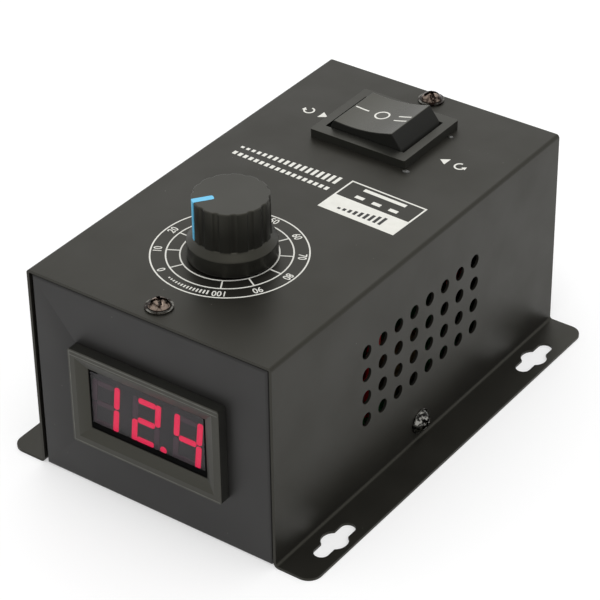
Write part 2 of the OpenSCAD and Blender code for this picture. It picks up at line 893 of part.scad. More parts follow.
module pot_nut() {
    color([0.7, 0.68, 0.62])
    translate([knob_x, knob_y, case_h + washer_t]) difference() {
        cylinder(r = nut_r, h = nut_h, $fn = 6);
        translate([0, 0, -cut]) cylinder(r = bushing_r + seat, h = nut_h + 2 * cut);
    }
}

// Knob
module pointer_slot(grow) {
    reach = grip_r * pointer_reach_share;
    rotate([0, 0, -90 - pointer_angle]) {
        translate([grip_top_r - reach, -pointer_top_w / 2 - grow, knob_top_z - pointer_t - grow])
            cube([reach + pointer_proud, pointer_top_w + 2 * grow, pointer_t + grow]);
        translate([grip_top_r - pointer_t - grow, -pointer_w / 2 - grow, grip_z])
            cube([grip_r - grip_top_r + pointer_t + grow + pointer_proud, pointer_w + 2 * grow,
                knob_top_z - grip_z]);
    }
}

module knob() {
    full_h = knob_top_z - knob_foot_z;
    color([0.16, 0.16, 0.16])
    translate([knob_x, knob_y, 0]) difference() {
        translate([0, 0, knob_foot_z]) rotate_extrude()
            polygon([[0, 0], [skirt_r, 0], [skirt_r, skirt_h], [grip_r, skirt_h + skirt_bevel],
                [grip_top_r, full_h - knob_rim], [grip_top_r - knob_rim, full_h], [0, full_h]]);
        for (i = [1 : flutes - 1]) {
            rotate([0, 0, -90 - pointer_angle + i * 360 / flutes])
                translate([grip_r + flute_r - flute_depth, 0, grip_z])
                    cylinder(r = flute_r, h = knob_top_z, $fn = 24);
        }
        translate([0, 0, knob_foot_z - cut]) {
            cylinder(r = knob_cavity_r, h = knob_cavity_h + cut);
            cylinder(r = bushing_clear_r, h = sheet_t + bushing_proud + cut);
            cylinder(r = knob_bore_r, h = shaft_top_z - knob_foot_z + fit + cut);
        }
        pointer_slot(0);
    }
}

module knob_pointer() {
    color([0.2, 0.62, 0.85])
    translate([knob_x, knob_y, 0]) pointer_slot(-shaft_seat);
}

// Direction switch, drawn about the rocker's pivot
module at_switch() {
    translate([switch_x, switch_y, pivot_z]) children();
}

module switch_housing() {
    top = switch_top_z - pivot_z;
    panel = case_h - pivot_z;
    bottom = switch_floor_z - pivot_z;
    color([0.17, 0.17, 0.17])
    at_switch() difference() {
        union() {
            translate([0, 0, panel]) linear_extrude(switch_bezel)
                rounded_square(switch_w, switch_d, switch_corner_r);
            slab([switch_body_w, switch_body_d, switch_depth + switch_bezel / 2], [0, 0, bottom]);
        }
        slab([switch_window_w, switch_window_d, top - bottom], [0, 0, bottom + switch_floor_t]);
        rod_y(pin_r + run, switch_window_d + 2 * pin_socket);
        for (sx = [-1, 0, 1], sy = [-1, 1]) {
            slab([tab_t + 2 * tab_slot_gap, tab_w + 2 * tab_slot_gap, switch_floor_t + 2 * cut],
                [sx * column_x, sy * row_y, bottom - cut]);
        }
    }
}

module rocker_profile() {
    intersection() {
        circle(rocker_swing_r, $fn = 96);
        translate([-rocker_swing_r, rocker_foot_z])
            square([2 * rocker_swing_r, rocker_shoulder_z - rocker_foot_z]);
    }
    polygon([[-rocker_half, rocker_shoulder_z - seat], [rocker_half, rocker_shoulder_z - seat],
        [rocker_half, rocker_shoulder_z], [rocker_top_half, rocker_top_z],
        [-rocker_top_half, rocker_top_z], [-rocker_half, rocker_shoulder_z]]);
}

module switch_rocker() {
    color([0.2, 0.2, 0.2])
    at_switch() rotate([0, -rocker_tilt, 0]) difference() {
        union() {
            rotate([90, 0, 0]) linear_extrude(rocker_d, center = true) difference() {
                rocker_profile();
                translate([0, rocker_top_z + rocker_dish_r - rocker_dip]) circle(rocker_dish_r, $fn = 180);
            }
            rod_y(pin_r, rocker_d + 2 * pin_l);
        }
        for (s = [-1, 1]) translate([0, s * row_y, rocker_foot_z - cut])
            cylinder(r = plunger_bore_r, h = spring_bore_top_z - rocker_foot_z + cut);
    }
}

module switch_plungers() {
    color([0.85, 0.83, 0.78])
    at_switch() rotate([0, -rocker_tilt, 0]) for (s = [-1, 1]) translate([0, s * row_y, 0]) {
        translate([0, 0, plunger_tip_z + plunger_r])
            cylinder(r = plunger_r, h = plunger_top_z - plunger_tip_z - plunger_r);
        translate([0, 0, plunger_tip_z + plunger_r]) sphere(plunger_r);
    }
}

module switch_springs() {
    color([0.7, 0.7, 0.7])
    at_switch() rotate([0, -rocker_tilt, 0]) for (s = [-1, 1]) translate([0, s * row_y, plunger_top_z])
        cylinder(r = spring_r, h = spring_bore_top_z - plunger_top_z);
}

module switch_levers() {
    color([0.8, 0.55, 0.3])
    at_switch() for (s = [-1, 1]) translate([0, s * row_y, lever_pivot_z]) rotate([0, lever_tilt, 0]) {
        slab([lever_l, lever_w, lever_t], [0, 0, -lever_t / 2]);
        for (sx = [-1, 1]) translate([sx * column_x, 0, -lever_t / 2 - button_t])
            cylinder(r = button_r, h = button_t);
    }
}

module switch_terminals() {
    bottom = switch_floor_z - pivot_z;
    inside = bottom + switch_floor_t;
    fixed_top = lever_pivot_z - fixed_button_drop;
    ridge_z = lever_pivot_z - lever_t / 2 - ridge_gap - ridge_r;
    color([0.82, 0.66, 0.36])
    at_switch() for (sy = [-1, 1]) {
        for (sx = [-1, 1]) {
            slab([tab_t, tab_w, tab_l + switch_floor_t], [sx * column_x, sy * row_y, bottom - tab_l]);
            translate([sx * column_x, sy * row_y, inside]) cylinder(r = button_r, h = fixed_top - inside);
        }
        slab([tab_t, tab_w, ridge_z - bottom + tab_l], [0, sy * row_y, bottom - tab_l]);
        translate([0, sy * row_y, ridge_z]) rod_y(ridge_r, tab_w);
    }
}

module switch_receptacles() {
    bottom = switch_floor_z - pivot_z;
    color([0.75, 0.12, 0.12])
    at_switch() for (sx = [0, 1], sy = [-1, 1]) difference() {
        slab([sleeve_t, sleeve_w, sleeve_l], [sx * column_x, sy * row_y, bottom - sleeve_gap - sleeve_l]);
        slab([tab_t + 2 * tab_slot_gap, tab_w + 2 * tab_slot_gap, tab_l - sleeve_gap + cut],
            [sx * column_x, sy * row_y, bottom - tab_l]);
    }
}

// Circuit board
module spacer_places() {
    for (sx = [-1, 1], sy = [-1, 1]) {
        translate([sx * (board_w / 2 - board_hole_in), sy * (board_l / 2 - board_hole_in), 0]) children();
    }
}

module transistor_rows() {
    for (i = [0 : transistors - 1]) {
        translate([sink_face_x, sink_y + pad_w / 2 + pad_margin + i * transistor_pitch, 0]) children();
    }
}

module main_board() {
    color([0.12, 0.38, 0.2])
    difference() {
        slab([board_w, board_l, board_t], [0, 0, board_z]);
        spacer_places() translate([0, 0, board_z - cut]) cylinder(r = board_hole_r, h = board_t + 2 * cut);
        transistor_rows() for (k = [-1, 0, 1]) {
            translate([pad_t + body_t / 2, k * leg_pitch, board_z - cut])
                cylinder(r = leg_hole_r, h = board_t + 2 * cut);
        }
    }
}

module board_spacers() {
    color([0.75, 0.73, 0.68])
    spacer_places() difference() {
        union() {
            cylinder(r = spacer_spigot_r, h = sheet_t + seat);
            translate([0, 0, sheet_t]) cylinder(r = spacer_r, h = spacer_h);
        }
        translate([0, 0, sheet_t]) cylinder(r = spacer_bore_r, h = spacer_h + cut);
    }
}

module board_screws() {
    color([0.75, 0.75, 0.73])
    spacer_places() translate([0, 0, board_top])
        pan_screw(board_screw_head_r, board_screw_head_h / 4,
            board_screw_head_r, board_screw_head_h * 3 / 4, screw_r, board_screw_l);
}

module heatsink() {
    fin_gap = (sink_h - sink_fin) / (sink_fins - 1);
    color([0.75, 0.76, 0.78])
    difference() {
        union() {
            translate([sink_face_x - sink_plate, sink_y, board_top]) cube([sink_plate, sink_l, sink_h]);
            for (i = [0 : sink_fins - 1]) {
                translate([sink_x, sink_y, board_top + i * fin_gap])
                    cube([sink_w - sink_plate + seat, sink_l, sink_fin]);
            }
        }
        transistor_rows() translate([0, 0, transistor_hole_z]) rod_x(tap_r, 3 * sink_plate);
    }
}

module transistor_pads() {
    color([0.6, 0.75, 0.78])
    transistor_rows() difference() {
        translate([0, -pad_w / 2, transistor_z - pad_margin]) cube([pad_t, pad_w, pad_h]);
        translate([0, 0, transistor_hole_z]) rod_x(tab_hole_r, 3 * sink_plate);
    }
}

module power_transistors() {
    color([0.14, 0.14, 0.15])
    transistor_rows() translate([pad_t, 0, transistor_z]) difference() {
        union() {
            translate([0, -body_w / 2, 0]) cube([body_t, body_w, body_h]);
            translate([0, -body_w / 2, body_h]) cube([tab_metal_t, body_w, tab_metal_h]);
            for (k = [-1, 0, 1]) {
                slab([leg_t, leg_w, transistor_z - leg_foot_z + seat],
                    [body_t / 2, k * leg_pitch, leg_foot_z - transistor_z]);
            }
        }
        translate([0, 0, body_h + tab_hole_up]) rod_x(tab_hole_r, 4 * tab_metal_t);
    }
}

module transistor_screws() {
    color([0.72, 0.72, 0.7])
    transistor_rows() translate([pad_t + tab_metal_t, 0, transistor_hole_z]) rotate([0, 90, 0])
        pan_screw(sink_screw_head_r, sink_screw_head_h / 4,
            sink_screw_head_r, sink_screw_head_h * 3 / 4, screw_r, sink_screw_l);
}

module storage_capacitors() {
    color([0.12, 0.14, 0.3])
    for (i = [0 : cap_count - 1]) {
        translate([cap_x + i * cap_pitch, cap_y, board_top]) rotate_extrude()
            difference() {
                square([cap_r, cap_h]);
                translate([cap_r + cap_groove_r / 2, cap_h / 8]) circle(cap_groove_r);
            }
    }
}

module film_capacitor() {
    color([0.85, 0.68, 0.2])
    slab([film_w, film_l, film_h], [film_x, film_y, board_top]);
}

module freewheel_diode() {
    color([0.15, 0.15, 0.15])
    translate([diode_x, diode_y, board_top]) {
        translate([0, 0, diode_r]) rod_x(diode_r, diode_l);
        slab([diode_l / 2, diode_r, diode_r]);
    }
}

module current_shunt() {
    color([0.72, 0.5, 0.3])
    translate([shunt_x, shunt_y, board_top]) {
        for (s = [-1, 1]) translate([0, s * shunt_span / 2, 0]) cylinder(r = shunt_r, h = shunt_h);
        translate([0, 0, shunt_h]) rod_y(shunt_r, shunt_span + 2 * shunt_r);
    }
}

module control_chip() {
    legs = floor(chip_l / chip_leg_pitch);
    color([0.13, 0.13, 0.14])
    translate([chip_x, chip_y, board_top]) {
        slab([chip_w, chip_l, chip_h], [0, 0, chip_leg_t]);
        for (s = [-1, 1], i = [0 : legs - 1]) {
            slab([chip_leg_out, chip_leg_w, chip_h / 2],
                [s * (chip_w + chip_leg_out) / 2, (i - (legs - 1) / 2) * chip_leg_pitch, 0]);
        }
    }
}

module header_places() {
    for (i = [0, 1]) translate([header_x, header_first_y + i * header_step, board_top]) children();
}

module signal_headers() {
    color([0.9, 0.88, 0.8])
    header_places() {
        difference() {
            slab([header_w, header_l, header_h]);
            slab([header_w - 2 * header_wall, header_l - 2 * header_wall, header_h], [0, 0, header_wall]);
        }
        for (k = [-1, 0, 1]) translate([0, k * header_pitch, header_wall / 2])
            cylinder(r = header_pin_r, h = header_pin_l);
    }
}

module signal_plugs() {
    color([0.95, 0.94, 0.88])
    header_places() translate([0, 0, header_wall]) difference() {
        slab([plug_w, plug_l, plug_h]);
        for (k = [-1, 0, 1]) translate([0, k * header_pitch, -cut])
            cylinder(r = header_pin_r + seat, h = header_pin_l + cut);
    }
}

// Terminal block
module way_places() {
    for (i = [0 : ways - 1]) translate([(i - (ways - 1) / 2) * way_pitch, block_y, 0]) children();
}

module terminal_block() {
    low = block_mid_z - block_h / 2;
    color([0.15, 0.15, 0.15])
    difference() {
        union() {
            slab([block_w, block_base, block_h], [0, block_y + block_base / 2, low]);
            slab([block_full_w, ear_base, block_h * 3 / 4], [0, block_y + ear_base / 2, low + block_h / 8]);
            for (i = [0 : ways]) {
                slab([fin_t, block_proud, block_h],
                    [(i - ways / 2) * way_pitch, block_y + block_proud / 2, low]);
            }
        }
        way_places() {
            translate([0, 0, block_mid_z]) rod_y(post_r + run, 2 * block_base + 2 * cut);
            slab([strip_tab_w + 2 * seat, 3 * block_base, strip_t + 2 * seat], [0, 0, strip_tab_z - seat]);
        }
        for (s = [-1, 1]) {
            translate([s * (block_w + ear_w) / 2, block_y, block_mid_z]) rod_y(ear_hole_r, 4 * ear_base);
        }
    }
}

module terminal_strips() {
    color([0.8, 0.68, 0.4])
    way_places() difference() {
        union() {
            slab([strip_w, strip_t, strip_h], [0, block_base + strip_t / 2, block_mid_z - strip_h / 2]);
            slab([strip_tab_w, block_base + strip_t + strip_reach, strip_t],
                [0, (block_base + strip_t - strip_reach) / 2, strip_tab_z]);
        }
        translate([0, 0, block_mid_z]) rod_y(post_r + run, 3 * block_base);
        translate([0, lug_hole_r + lug_hole_in - strip_reach, strip_tab_z - cut])
            cylinder(r = lug_hole_r, h = strip_t + 2 * cut);
    }
}

module terminal_clamps() {
    color([0.75, 0.75, 0.72])
    way_places() difference() {
        slab([strip_w, clamp_t, clamp_h],
            [0, clamp_face - clamp_t / 2, block_mid_z - clamp_h / 2]);
        translate([0, 0, block_mid_z]) rod_y(post_r + run, 4 * block_base);
    }
}

module terminal_screws() {
    color([0.78, 0.78, 0.75])
    way_places() translate([0, clamp_face, block_mid_z]) rotate([-90, 0, 0])
        pan_screw(post_head_r, post_head_h / 3, post_head_r, post_head_h * 2 / 3,
            post_r, clamp_face - seat);
}

module block_screws() {
    color([0.72, 0.72, 0.7])
    for (s = [-1, 1]) translate([s * (block_w + ear_w) / 2, block_y + ear_base, block_mid_z])
        rotate([-90, 0, 0])
        pan_screw(ear_head_r, ear_head_h / 4, ear_head_r, ear_head_h * 3 / 4, ear_screw_r, ear_screw_l);
}

module block_nuts() {
    color([0.72, 0.72, 0.7])
    for (s = [-1, 1]) translate([s * (block_w + ear_w) / 2, block_y - sheet_t, block_mid_z])
        rotate([90, 0, 0]) difference() {
            cylinder(r = ear_nut_r, h = ear_nut_h, $fn = 6);
            translate([0, 0, -cut]) cylinder(r = ear_screw_r + seat, h = ear_nut_h + 2 * cut);
        }
}

// Leads: the points at their ends, then the leads
function way_end(i) =
    [(i - (ways - 1) / 2) * way_pitch, block_y - strip_reach + lead_r, strip_tab_z - lead_gap];
function tab_end(sx, sy) =
    [switch_x + sx * column_x, switch_y + sy * row_y, switch_floor_z - sleeve_gap - sleeve_l];
function plug_end(i, k) =
    [header_x, header_first_y + i * header_step + k * header_pitch, board_top + header_wall + plug_h];
function supply_pad(i) = [way_end(i)[0], board_l / 2 - supply_pad_in, board_top];

module supply_lead_red() {
    color([0.8, 0.08, 0.08])
    lead(way_end(ways - 1), [0, 0, -lead_start], [0, 0, lead_start], supply_pad(ways - 1), lead_r);
}

module supply_lead_black() {
    color([0.1, 0.1, 0.1])
    lead(way_end(0), [0, 0, -lead_start], [0, 0, lead_start], supply_pad(0), lead_r);
}

module motor_leads() {
    color([0.85, 0.7, 0.15])
    for (i = [1, 2]) {
        lead(way_end(i), [0, 0, -lead_start], [0, 0, -lead_start], tab_end(0, i == 1 ? 1 : -1), lead_r);
    }
}

module switch_lead_red() {
    color([0.8, 0.08, 0.08])
    lead(tab_end(1, -1), [0, 0, -lead_start], [0, 0, red_drop],
        [board_right_x - red_pad_side, red_pad_y, board_top], lead_r, [0, 1, 0]);
}

module switch_lead_black() {
    color([0.1, 0.1, 0.1])
    lead(tab_end(1, 1), [0, 0, -lead_start], [0, 0, lead_start],
        [board_right_x - black_pad_side, board_l / 2 - black_pad_in, board_top], lead_r, [0, 1, 0]);
}

module pot_leads() {
    color([0.75, 0.1, 0.1])
    for (k = [-1, 0, 1]) {
        lead([knob_x + k * lug_pitch, knob_y + lug_l - lug_w, track_z + track_t - lead_gap],
            [0, 0, -signal_start], [0, 0, signal_drop], plug_end(1, -k), signal_r, [0, 1, 0]);
    }
}

module meter_leads() {
    color([0.75, 0.1, 0.1])
    for (k = [-1, 0, 1]) {
        lead([-k * signal_gap, display_back_y + meter_board_t, meter_wire_z], [0, meter_run, 0],
            [0, 0, meter_drop], plug_end(0, k), signal_r, [1, 1, 2]);
    }
}

cover();
chassis();
top_screws();
side_screws();
meter_housing();
meter_window();
meter_display();
meter_lit_segments();
meter_dark_segments();
meter_board();
meter_back();
knob();
knob_pointer();
pot_shaft();
pot_wiper();
pot_bushing();
pot_can();
pot_track();
pot_lugs();
pot_washer();
pot_nut();
switch_housing();
switch_rocker();
switch_plungers();
switch_springs();
switch_levers();
switch_terminals();
switch_receptacles();
main_board();
board_spacers();
board_screws();
heatsink();
transistor_pads();
power_transistors();
transistor_screws();
storage_capacitors();
film_capacitor();
freewheel_diode();
current_shunt();
control_chip();
signal_headers();
signal_plugs();
terminal_block();
terminal_strips();
terminal_clamps();
terminal_screws();
block_screws();
block_nuts();
supply_lead_red();
supply_lead_black();
motor_leads();
switch_lead_red();
switch_lead_black();
pot_leads();
meter_leads();
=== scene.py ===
"""Looks of a speed controller for a direct-current motor, dressed round its fixed frame.

Class fields give lengths in millimetres. Meshes are in metres, in the frame's own place: +X is
right seen from the front, +Y runs back and +Z is up, from the middle of the casing's underside.
"""

import json
import logging
import math
from collections.abc import Callable
from dataclasses import dataclass, field
from enum import Enum
from typing import Protocol

import bmesh
import bpy
from mathutils import Matrix, Vector


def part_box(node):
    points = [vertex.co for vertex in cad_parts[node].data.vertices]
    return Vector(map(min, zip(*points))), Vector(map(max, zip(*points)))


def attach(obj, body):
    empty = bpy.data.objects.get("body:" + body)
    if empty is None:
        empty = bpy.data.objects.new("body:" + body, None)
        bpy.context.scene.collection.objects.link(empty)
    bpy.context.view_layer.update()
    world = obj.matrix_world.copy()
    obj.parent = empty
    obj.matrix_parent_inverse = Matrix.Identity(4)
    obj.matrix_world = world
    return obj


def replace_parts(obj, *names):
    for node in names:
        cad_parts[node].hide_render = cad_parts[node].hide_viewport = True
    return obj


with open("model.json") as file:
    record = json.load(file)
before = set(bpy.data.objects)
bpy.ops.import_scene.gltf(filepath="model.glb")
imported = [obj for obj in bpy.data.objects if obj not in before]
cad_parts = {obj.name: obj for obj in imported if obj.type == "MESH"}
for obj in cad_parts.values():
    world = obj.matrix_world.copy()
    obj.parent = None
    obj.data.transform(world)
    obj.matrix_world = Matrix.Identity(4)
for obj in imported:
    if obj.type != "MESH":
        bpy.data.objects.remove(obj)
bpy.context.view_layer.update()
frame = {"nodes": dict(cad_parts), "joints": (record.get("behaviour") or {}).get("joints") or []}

log = logging.getLogger("speed_controller")

Pair = tuple[float, float]
Triple = tuple[float, float, float]
Mesh = bmesh.types.BMesh
Tree = bpy.types.NodeTree
Socket = tuple[bpy.types.Node, str | int]

# One millimetre in metres
MM = 0.001
# Points this close are one, and faces this flat are joined
MERGE_MM = 0.001
FLAT_DEG = 0.5
# Edges this sharp are rounded, and shaded as edges
ROUNDED_DEG = 32.0
SHARP_DEG = 30.0
# Where the middle of a rounded corner lies, as a share of the rounding's reach
ARC_SHARE = 0.28


class Body(Enum):
    """The bodies that pieces ride on."""

    CASING = "casing"
    KNOB = "speed_knob"
    ROCKER = "direction_rocker"


class Quality(Enum):
    """How many segments a rounded edge gets."""

    EDGE = 2
    SOFT = 3


def linear(colour: str) -> tuple[float, float, float, float]:
    """Turn an sRGB hex colour into linear light.

    Args:
        colour: six hex digits.

    Returns:
        Red, green, blue and a full alpha.
    """
    shares = [int(colour[i : i + 2], 16) / 255 for i in (0, 2, 4)]
    light = [s / 12.92 if s <= 0.04045 else ((s + 0.055) / 1.055) ** 2.4 for s in shares]
    return (light[0], light[1], light[2], 1.0)


def add_node(
    tree: Tree,
    kind: str,
    inputs: dict[str | int, object] | None = None,
    **settings: object,
) -> bpy.types.Node:
    """Add one shader node with its settings and links.

    Args:
        tree: the material's tree.
        kind: the node's type without its common prefix.
        inputs: a value, or a node and its output, for each socket.
        settings: the node's own properties.

    Returns:
        The new node.
    """
    node = tree.nodes.new("ShaderNode" + kind)
    for name, value in settings.items():
        setattr(node, name, value)
    for name, value in (inputs or {}).items():
        if isinstance(value, tuple) and isinstance(value[0], bpy.types.Node):
            tree.links.new(value[0].outputs[value[1]], node.inputs[name])
        else:
            node.inputs[name].default_value = value
    return node


@dataclass(frozen=True)
class Finish:
    """A painted, moulded or plated surface with a slow mottle and a fine grain.

    The mottle changes the colour towards the tint, in patches where its spread is small, and swings
    the roughness. The grain is a bump. Real grain of 0.1 to 0.3 mm is finer than a pixel, so it is
    drawn as coarse as it needs to show.
    """

    name: str
    slot: str
    colour: str
    tint: str
    roughness: float
    metallic: float = 0.0
    swing: float = 0.05
    mottle_mm: float = 14.0
    spread: float = 0.5
    grain_mm: float = 0.8
    grain_depth_mm: float = 0.01
    coat: float = 0.0
    alpha: float = 1.0
    glow: str = ""
    glow_strength: float = 0.0
    stretch: Triple = (1.0, 1.0, 1.0)
    specular: float = 0.5
    sheen: str = "ffffff"
    mottle_detail: float = 3.0
    grain_detail: float = 2.0
    rough_span: Pair = (0.3, 0.7)
    bump: float = 0.6
    coat_roughness: float = 0.12

    def material(self) -> bpy.types.Material:
        """Give the finish's material, made once.

        Returns:
            The material.
        """
        made = bpy.data.materials.get(self.name)
        if made is not None:
            return made
        made = bpy.data.materials.new(self.name)
        made.use_nodes = True
        tree = made.node_tree
        tree.nodes.clear()
        place = add_node(tree, "TexCoord")
        turned = add_node(tree, "Mapping", {"Vector": (place, "Object"), "Scale": self.stretch})
        shader = self.shade(tree, (turned, "Vector"))
        add_node(tree, "OutputMaterial", {"Surface": (shader, 0)})
        return made

    def shade(self, tree: Tree, place: Socket) -> bpy.types.Node:
        """Build the shader.

        Args:
            tree: the material's tree.
            place: the output that gives the place on the piece.

        Returns:
            The shader node.
        """
        noise = {"Vector": place, "Scale": 1 / (self.mottle_mm * MM), "Detail": self.mottle_detail}
        mottle = add_node(tree, "TexNoise", noise)
        span = {"From Min": 0.5 - self.spread, "From Max": 0.5 + self.spread}
        patches = add_node(tree, "MapRange", {"Value": (mottle, "Fac"), **span})
        paints = {0: (patches, 0), 6: self.base(tree, place), 7: linear(self.tint)}
        colour = add_node(tree, "Mix", paints, data_type="RGBA")
        span = {
            "Value": (mottle, "Fac"),
            "From Min": self.rough_span[0],
            "From Max": self.rough_span[1],
            "To Min": self.roughness - self.swing,
            "To Max": self.roughness + self.swing,
        }
        rough = add_node(tree, "MapRange", span)
        inputs = {
            "Base Color": (colour, 2),
            "Roughness": (rough, 0),
            "Metallic": self.metallic,
            "Specular IOR Level": self.specular,
            "Specular Tint": linear(self.sheen),
            "Normal": (self.grain(tree, place), "Normal"),
            "Coat Weight": self.coat,
            "Coat Roughness": self.coat_roughness,
            "Alpha": self.alpha,
        }
        if self.glow:
            inputs["Emission Color"] = linear(self.glow)
            inputs["Emission Strength"] = self.glow_strength
        return add_node(tree, "BsdfPrincipled", inputs)

    def base(self, tree: Tree, place: Socket) -> object:
        """Give the base colour's value, or the output that paints it."""
        return linear(self.colour)

    def grain(self, tree: Tree, place: Socket) -> bpy.types.Node:
        """Build the grain's bump.

        Args:
            tree: the material's tree.
            place: the output that gives the place on the piece.

        Returns:
            The bump node.
        """
        noise = {"Vector": place, "Scale": 1 / (self.grain_mm * MM), "Detail": self.grain_detail}
        height = (add_node(tree, "TexNoise", noise), "Fac")
        deep = {"Height": height, "Strength": self.bump, "Distance": self.grain_depth_mm * MM}
        return add_node(tree, "Bump", deep)


@dataclass(frozen=True)
class PowderCoat(Finish):
    """Sprayed powder, melted and cured, with a few pale specks of dust on it."""

    dust: str = "9a978f"
    dust_cell_mm: float = 5.0
    dust_r_mm: float = 0.16
    dust_share: float = 0.7

    def base(self, tree: Tree, place: Socket) -> Socket:
        """Scatter the dust over the coat.

        Args:
            tree: the material's tree.
            place: the output that gives the place on the piece.

        Returns:
            The output that paints the colour.
        """
        scatter = {"Vector": place, "Scale": 1 / (self.dust_cell_mm * MM)}
        cells = add_node(tree, "TexVoronoi", scatter)
        edge = self.dust_r_mm / self.dust_cell_mm
        span = {"From Min": edge, "From Max": edge / 2, "To Max": self.dust_share}
        speck = add_node(tree, "MapRange", {"Value": (cells, "Distance"), **span})
        paints = {0: (speck, 0), 6: linear(self.colour), 7: linear(self.dust)}
        return (add_node(tree, "Mix", paints, data_type="RGBA"), 2)


@dataclass(frozen=True)
class FlangedScrew(Finish):
    """A plated screw head: a grey flange, and a dark ring of painted shade round the foot of its
    dome.
    """

    flange: str = "75746e"
    # The dark ring is painted shade in the crease where the dome meets the flange
    dome_foot_shade: str = "0c0a08"
    flange_top_mm: float = 0.0
    dome_foot_shade_mm: float = 0.35
    blend_mm: float = 0.2

    def base(self, tree: Tree, place: Socket) -> Socket:
        """Blend from the flange's colour to the painted shade's and on to the dome's.

        Args:
            tree: the material's tree.
            place: the output that gives the place on the piece.

        Returns:
            The output that paints the colour.
        """
        parted = add_node(tree, "SeparateXYZ", {0: place})
        paint: object = linear(self.flange)
        # Grey flange, then a dark ring of painted shade at the dome's foot, then the dome
        for start, colour in (
            (self.flange_top_mm, self.dome_foot_shade),
            (self.flange_top_mm + self.dome_foot_shade_mm, self.colour),
        ):
            span = {"From Min": start * MM, "From Max": (start + self.blend_mm) * MM}
            share = add_node(tree, "MapRange", {"Value": (parted, "Z"), **span})
            paints = {0: (share, 0), 6: paint, 7: linear(colour)}
            paint = (add_node(tree, "Mix", paints, data_type="RGBA"), 2)
        return paint


@dataclass(frozen=True)
class EtchedBoard(Finish):
    """Green solder mask over copper tracks, which show as paler lines."""

    track: str = "2f7a45"
    track_mm: float = 3.0
    track_share: float = 0.08

    def base(self, tree: Tree, place: Socket) -> Socket:
        """Lay the tracks.

        Args:
            tree: the material's tree.
            place: the output that gives the place on the piece.

        Returns:
            The output that paints the colour.
        """
        mask = linear(self.colour)
        inputs = {
            "Vector": place,
            "Color1": mask,
            "Color2": mask,
            "Mortar": linear(self.track),
            "Scale": 1 / (self.track_mm * MM),
            "Mortar Size": self.track_share,
        }
        return (add_node(tree, "TexBrick", inputs), "Color")


# The warm cast that dark coats and mouldings give to what they mirror
WARM_BLACK = "fffce6"
# Powder coat over steel: a satin black with a warm cast, which mirrors the tent as a soft sheen
CASING_COAT = PowderCoat(
    "powder_coated_steel", "casing", "181715", "1f1e1b", 0.42, grain_mm=0.7, grain_depth_mm=0.006,
    specular=0.305, sheen=WARM_BLACK,
)
# The same coat on the inner tray, a little flatter
CHASSIS_COAT = PowderCoat(
    "powder_coated_tray", "chassis", "191817", "1e1d1c", 0.45, grain_mm=0.7, grain_depth_mm=0.006,
    specular=0.39,
)
# Steel blackened with a bronze cast: brown metal, bright and dark in patches, with a greyer flange
# and a ring of painted shade round the dome's foot
SCREW_BRONZE = FlangedScrew(
    "bronzed_steel", "casing_screws", "8a7b70", "1c1410", 0.24, 1.0, swing=0.1, mottle_mm=1.6,
    spread=0.08, grain_mm=0.5, grain_depth_mm=0.04, flange_top_mm=62.75,
)
# Steel blackened without the cast: the screws in the sides
SCREW_BLACK = Finish(
    "blackened_steel", "casing_screws", "8c8b86", "1a1918", 0.22, 1.0, swing=0.1, mottle_mm=0.9,
    spread=0.06, grain_mm=0.5, grain_depth_mm=0.05,
)
# Moulded ABS: even black with a fine spark-eroded grain
METER_ABS = Finish(
    "moulded_abs_bezel", "meter_plastic", "1b1b1a", "222220", 0.38, grain_mm=0.5,
    grain_depth_mm=0.008, specular=0.45, sheen=WARM_BLACK,
)
# The same ABS painted paler, for the painted highlights along the bezel's edges
HIGHLIGHT_ABS = Finish(
    "abs_painted_highlight", "meter_plastic", "42423d", "55554e", 0.4, mottle_mm=3.0, spread=0.15
)
# Smoked acrylic: a dark sheet that mirrors the tent and lets the figures glow through
WINDOW_ACRYLIC = Finish(
    "smoked_acrylic", "meter_window", "1e1c1e", "242124", 0.2, alpha=0.42, grain_depth_mm=0.001
)
# Grey epoxy of the display's face
DISPLAY_EPOXY = Finish(
    "grey_display_epoxy", "display", "423f43", "4a474b", 0.5, grain_depth_mm=0.001
)
# Diffused epoxy over lit chips: it glows evenly
LIT_EPOXY = Finish(
    "lit_red_epoxy", "lit_segments", "d80840", "e8104a", 0.4, glow="ff0052", glow_strength=1.7
)
# The same epoxy unlit: a faint purple
DARK_EPOXY = Finish("unlit_red_epoxy", "dark_segments", "8a5f74", "92687c", 0.4)
# Flat black in the gap round the display: painted shade where the recess behind the window lies in
# shadow
GAP_SHADE = Finish("painted_gap_shade", "meter_plastic", "030303", "050505", 0.9, specular=0.05)
# Moulded ABS of the knob: deep black with a low shine
KNOB_ABS = Finish(
    "moulded_abs_knob", "knob", "0e0e0d", "131312", 0.36, grain_mm=0.5, grain_depth_mm=0.008,
    specular=0.43, sheen=WARM_BLACK,
)
# Light blue styrene let into the knob
POINTER_STYRENE = Finish("blue_styrene", "pointer", "5cb8e0", "6cc4ea", 0.4, grain_depth_mm=0.003)
# Moulded nylon of the switch body: black, a little duller than the rocker
SWITCH_NYLON = Finish(
    "moulded_nylon", "switch_plastic", "1a1a18", "20201e", 0.4, grain_mm=0.5, grain_depth_mm=0.008,
    specular=0.42, sheen=WARM_BLACK,
)
# Moulded nylon of the rocker's top, with a soft shine
ROCKER_NYLON = Finish(
    "polished_nylon", "rocker", "1c1c1a", "22221f", 0.3, grain_mm=0.5, grain_depth_mm=0.004,
    specular=0.55, sheen=WARM_BLACK,
)
# A darker, duller copy of the same nylon on the rocker's sides: painted shade
SHADED_ROCKER_SIDES = Finish(
    "nylon_sides_painted_shade", "rocker", "1a1a18", "1f1f1c", 0.55, grain_mm=0.5, grain_depth_mm=0.008,
    specular=0.12,
)
